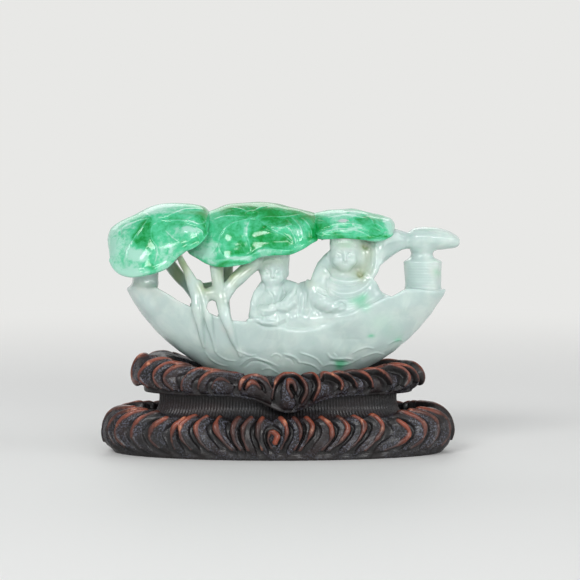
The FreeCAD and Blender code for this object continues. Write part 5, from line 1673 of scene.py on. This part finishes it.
def ring_mesh(name, ring, height, marks):
    """The carved ring, closed by its underside and its inner wall."""
    grid = ring.grid
    columns, rows = grid.shape[:2]
    along = np.roll(grid, -1, 0) - np.roll(grid, 1, 0)
    across = np.gradient(grid, axis=1)
    outward = np.cross(across, along)
    outward /= np.linalg.norm(outward, axis=2)[..., None]
    share = np.linspace(0, 1, rows)
    fade = ramp(share, 0, wall_fade_share) * ramp(1 - share, 0, under_fade_share)
    carved = grid + outward * (height * fade[None, :])[..., None]
    carved[..., 2] = np.maximum(carved[..., 2], grid[..., 2].min())
    wall_foot = np.concatenate((ring.wall, np.full((columns, 1), ring.wall_low)), 1)
    points = np.concatenate((carved, wall_foot[:, None]), 1)
    total = points.shape[1]
    number = np.arange(columns * total).reshape(columns, total)
    ahead = np.roll(number, -1, 0)
    faces = []
    for row in range(total):
        after = (row + 1) % total
        faces.append(np.stack((number[:, row], number[:, after], ahead[:, after], ahead[:, row]), 1))
    values = {}
    for mark, value in marks.items():
        filled = np.zeros((columns, total))
        filled[:, :rows] = value
        values[mark] = filled.ravel()
    return make_mesh(name, points.reshape(-1, 3), np.concatenate(faces), values)


def along_crest(share, head, to_head, to_middle):
    """A value along a crest's line: least at its foot, and most at its head or in its middle."""
    if head:
        foot, gain, start, full = to_head
        return foot + gain * ramp(share, start, full)
    foot, gain = to_middle
    return foot + gain * np.sin(math.pi * share)


def crest_field(ring, crests, half_width, head, seed):
    """Carved heights and colour marks on a ring from its crest lines, with painted shade in the hollows and
    towards the foot.
    """
    columns, rows = ring.grid.shape[:2]
    s, t = ring.places[:, None], ring.across[None, :]
    surface = ring.grid.reshape(-1, 3)
    uneven = crest_wander * ripples(surface, crest_wander_length, seed).reshape(columns, rows)
    nearest = np.full((columns, rows), face_reach * face_reach)
    broad = np.ones((columns, rows))
    worn = np.ones((columns, rows))
    side = np.zeros((columns, rows))
    for face_side, line in ring.crest_lines(crests):
        middle = line[:, 0].mean()
        shifted = (s - middle + ring.length / 2) % ring.length - ring.length / 2 + middle
        span = 2 * face_reach + (line[:, 0].max() - line[:, 0].min()) / 2
        chosen = np.abs(shifted[:, 0] - middle) < span
        local = shifted[chosen]
        best, best_side = nearest[chosen], side[chosen]
        best_broad, best_worn = broad[chosen], worn[chosen]
        last = len(line) - 1
        for index, ((s0, t0), (s1, t1)) in enumerate(zip(line, line[1:])):
            run, fall = s1 - s0, t1 - t0
            share = np.clip(((local - s0) * run + (t - t0) * fall) / (run * run + fall * fall), 0, 1)
            aside, down = local - s0 - share * run, t - t0 - share * fall
            away = np.hypot(aside, down)
            closer = away < best
            best = np.where(closer, away, best)
            best_side = np.where(closer, (aside * fall - down * run) * face_side, best_side)
            along = (index + share) / last
            wide = along_crest(along, head, head_width_shares, middle_width_shares)
            bare = along_crest(along, head, head_wear_shares, middle_wear_shares)
            best_broad = np.where(closer, wide, best_broad)
            best_worn = np.where(closer, bare, best_worn)
        nearest[chosen], side[chosen], broad[chosen], worn[chosen] = best, best_side, best_broad, best_worn
    nearest = np.maximum(nearest + uneven, 0)
    half = half_width * broad
    rounded = crest_height * broad * (1 - crest_fall_share * np.clip(nearest / half, 0, 1) ** 2)
    beyond = np.maximum(nearest - half, 0)
    face = rounded - (crest_step + (rounded - crest_step + ground_depth) * ramp(beyond, 0, face_reach))
    climb = ramp(beyond, 2 * hollow_reach, 2 * hollow_reach + face_reach)
    hollow = -hollow_depth + (hollow_depth - ground_depth) * climb
    toward_face = side > 0
    ground = np.where(toward_face, face, hollow)
    drop = ramp(beyond, 0, np.where(toward_face, face_drop, hollow_reach))
    height = rounded + (ground - rounded) * drop
    edge = 1 - ramp(nearest / half, edge_start_share, edge_end_share)
    dust = (1 - edge) * np.where(toward_face, 1.0, hollow_dust_share + (1 - hollow_dust_share) * climb)
    # Painted shade: deeper towards the far side of each face and in the hollows, none on the crests.
    face_shade = face_shade_share * ramp(beyond, face_reach / 2, face_reach)
    painted_shade = (1 - edge) * np.where(toward_face, face_shade, 1 - climb)
    wearing = ripples(surface, wear_length, seed + 1).reshape(columns, rows)
    rubbed = least_worn_share + (1 - least_worn_share) * ramp(wearing, bare_low, bare_high)
    # Painted shade towards the foot of the ring, where the copper of the crests fades out too.
    foot = 1 - ramp(ring.grid[..., 2] - ring.grid[..., 2].min(), 0, foot_shade_height)
    painted_shade = np.maximum(painted_shade, foot_shade_share * foot)
    return height, {"crest": edge * worn * rubbed * (1 - foot), "dust": dust, "hollow": painted_shade}


def end_share(turns):
    """Nought on the long sides of an oval, one at its ends."""
    return np.abs(np.cos(turns)) ** 3


def foot_low_at(turns):
    return np.zeros(len(turns))


def foot_high_at(turns):
    return foot_ring_height + foot_ring_end_rise * end_share(turns)


def rim_high_at(turns):
    rise_by = np.where(np.cos(turns) > 0, rim_stern_rise, rim_bow_rise)
    return rim_under_height + rim_ring_height + rise_by * end_share(turns)


def rim_low_at(turns):
    x, y = on_oval(rim_outside, turns).T
    drop = rim_curl_drop * np.exp(-(((x - rim_curl_offset) / rim_curl_reach) ** 2))
    return rim_under_height - np.where(y < 0, drop, 0)


def make_foot():
    ring = Ring(
        foot_outside, foot_inside, foot_low_at, foot_high_at, 0.0, foot_floor_thickness, foot_columns,
        foot_rows,
    )
    height, marks = crest_field(ring, foot_crests, foot_crest_half_width, True, foot_seed)
    return ring_mesh("foot_wave_ring_carved", ring, height, marks)


def make_rim():
    ring = Ring(
        rim_outside, rim_inside, rim_low_at, rim_high_at, rim_under_height, tray_top_height, rim_columns,
        rim_rows,
    )
    height, marks = crest_field(ring, rim_crests, rim_crest_half_width, False, rim_seed)
    return ring_mesh("rim_wave_ring_carved", ring, height, marks)


# Each pair: share of the waist's height, share of its flare.
waist_profile_shares = ((0.0, 1.0), (0.16, 0.5), (0.38, 0.16), (0.66, 0.02), (0.85, 0.0), (1.0, 0.04))
waist_rows, waist_flute_columns = 34, 8
flute_depth, waist_inset, waist_fade_share, waist_dust_share = 0.17, 0.06, 0.9, 0.25


def make_waist():
    """The stand's hollow-sided neck with its fine upright flutes."""
    _, _, length = around(waist_half, 1)
    columns = round(length / flute_pitch) * waist_flute_columns
    turns, _, _ = around(waist_half, columns)
    shares = np.linspace(0, 1, waist_rows)
    flare = through(*np.array(waist_profile_shares).T)(shares)
    step = np.arange(columns) / waist_flute_columns
    ridge = np.abs(np.sin(math.pi * step))
    fade = 1 - ramp(np.abs(2 * shares - 1), waist_fade_share, 1.0)
    groove = -(flute_depth * (1 - ridge)[:, None] + waist_inset) * fade[None, :]
    points = np.zeros((columns, waist_rows, 3))
    for axis, turned in ((0, np.cos(turns)), (1, np.sin(turns))):
        half = waist_half[axis] + (foot_inside[axis] - waist_half[axis]) * flare
        points[..., axis] = (half[None, :] + groove) * turned[:, None]
    points[..., 2] = foot_floor_thickness + (rim_under_height - foot_floor_thickness) * shares
    number = np.arange(columns * waist_rows).reshape(columns, waist_rows)
    ahead = np.roll(number, -1, 0)
    faces = []
    for row in range(waist_rows - 1):
        faces.append(np.stack((number[:, row], ahead[:, row], ahead[:, row + 1], number[:, row + 1]), 1))
    first = np.arange(columns // 2 - 1)
    for edge, up in ((number[:, 0], False), (number[:, -1], True)):
        opposite = columns - 1 - first
        cap = np.stack((edge[first], edge[first + 1], edge[opposite - 1], edge[opposite]), 1)
        faces.append(cap if up else cap[:, ::-1])
    dust = np.repeat((waist_dust_share * ridge)[:, None], waist_rows, 1).ravel()
    marks = {"crest": np.zeros(len(dust)), "hollow": np.zeros(len(dust)), "dust": dust}
    return make_mesh("waist_fluted", points.reshape(-1, 3), np.concatenate(faces), marks)


# Camera, light and floor


camera_reach = 10.0


def make_camera():
    data = bpy.data.cameras.new("photo_camera")
    data.sensor_width = camera_sensor
    data.lens = camera_sensor * camera_distance / photo_width
    data.clip_end = camera_reach
    camera = bpy.data.objects.new("photo_camera", data)
    spot = Vector((target_x, -camera_distance * level, target_z + camera_distance * rise)) * metres_per_mm
    camera.location = spot
    target = Vector((target_x, 0, target_z)) * metres_per_mm
    camera.rotation_euler = (target - spot).to_track_quat("-Z", "Y").to_euler()
    bpy.context.scene.collection.objects.link(camera)
    bpy.context.scene.camera = camera


lamp_aim = (0, 0, 0.035)


def make_lamp(name, spot, size, power):
    data = bpy.data.lights.new(name, "AREA")
    data.shape = "ELLIPSE"
    data.size, data.size_y = size
    data.energy = power
    lamp = bpy.data.objects.new(name, data)
    lamp.location = spot
    lamp.rotation_euler = (Vector(lamp_aim) - Vector(spot)).to_track_quat("-Z", "Y").to_euler()
    bpy.context.scene.collection.objects.link(lamp)


# Each lamp: name, place and size in metres, power
lamps = (
    ("key_softbox", (-0.44, -0.84, 0.68), (0.6, 0.32), 5.0),
    ("front_strip", (0.32, -1.0, 0.32), (0.68, 0.2), 3.6),
    ("right_fill", (0.9, -0.32, 0.4), (0.5, 0.6), 1.8),
    ("back_light", (-0.2, 0.84, 0.6), (1.0, 0.4), 1.4),
)
room_colour, room_strength = (0.9, 0.92, 0.95, 1.0), 0.42


def make_light():
    for name, spot, size, power in lamps:
        make_lamp(name, spot, size, power)
    world = bpy.data.worlds.new("soft_room")
    world.use_nodes = True
    background = world.node_tree.nodes["Background"]
    background.inputs["Color"].default_value = room_colour
    background.inputs["Strength"].default_value = room_strength
    bpy.context.scene.world = world


# Floor and backdrop, in metres
floor_half, floor_back, bend_radius, bend_steps, backdrop_top = 1.6, 0.6, 0.5, 16, 2.0


def make_stage():
    mesh = bpy.data.meshes.new("studio_floor")
    profile = [(-floor_half, 0.0), (floor_back, 0.0)]
    for turn in np.linspace(0, math.pi / 2, bend_steps)[1:]:
        profile.append((floor_back + bend_radius * math.sin(turn), bend_radius * (1 - math.cos(turn))))
    profile.append((floor_back + bend_radius, backdrop_top))
    verts = [(x, y, z) for y, z in profile for x in (-floor_half, floor_half)]
    faces = [(2 * i, 2 * i + 1, 2 * i + 3, 2 * i + 2) for i in range(len(profile) - 1)]
    mesh.from_pydata(verts, [], faces)
    mesh.shade_smooth()
    mesh.materials.append(stage_material())
    floor = bpy.data.objects.new("studio_floor", mesh)
    bpy.context.scene.collection.objects.link(floor)


# Dressing the frame

leaf_nodes = ("lotus_leaf_left", "lotus_leaf_middle", "lotus_leaf_right")
body_nodes = [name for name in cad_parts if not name.startswith(("stand_", "lotus_leaf_"))]


def finish_piece(piece, material, body, slot, *nodes):
    piece.data.materials.append(material)
    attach(piece, body)
    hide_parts(*nodes)


def dress_jade():
    finish_piece(make_body(), pale_jade(), "jade_carving", "pale_jade", *body_nodes)
    green = green_jade()
    for leaf, node in zip(make_leaves(), leaf_nodes):
        finish_piece(leaf, green, "jade_carving", "green_jade", node)


def dress_stand():
    wood = dark_wood()
    finish_piece(make_foot(), wood, "stand", "carved_wood", "stand_foot_wave_ring")
    finish_piece(make_rim(), wood, "stand", "carved_wood", "stand_rim_wave_ring")
    finish_piece(make_waist(), wood, "stand", "carved_wood", "stand_waist")
    for node in ("stand_foot_floor", "stand_tray"):
        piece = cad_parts[node]
        piece.data.materials.clear()
        piece.data.materials.append(wood)


scene = bpy.context.scene
scene.view_settings.view_transform = "Standard"
make_camera()
make_light()
make_stage()
dress_jade()
dress_stand()
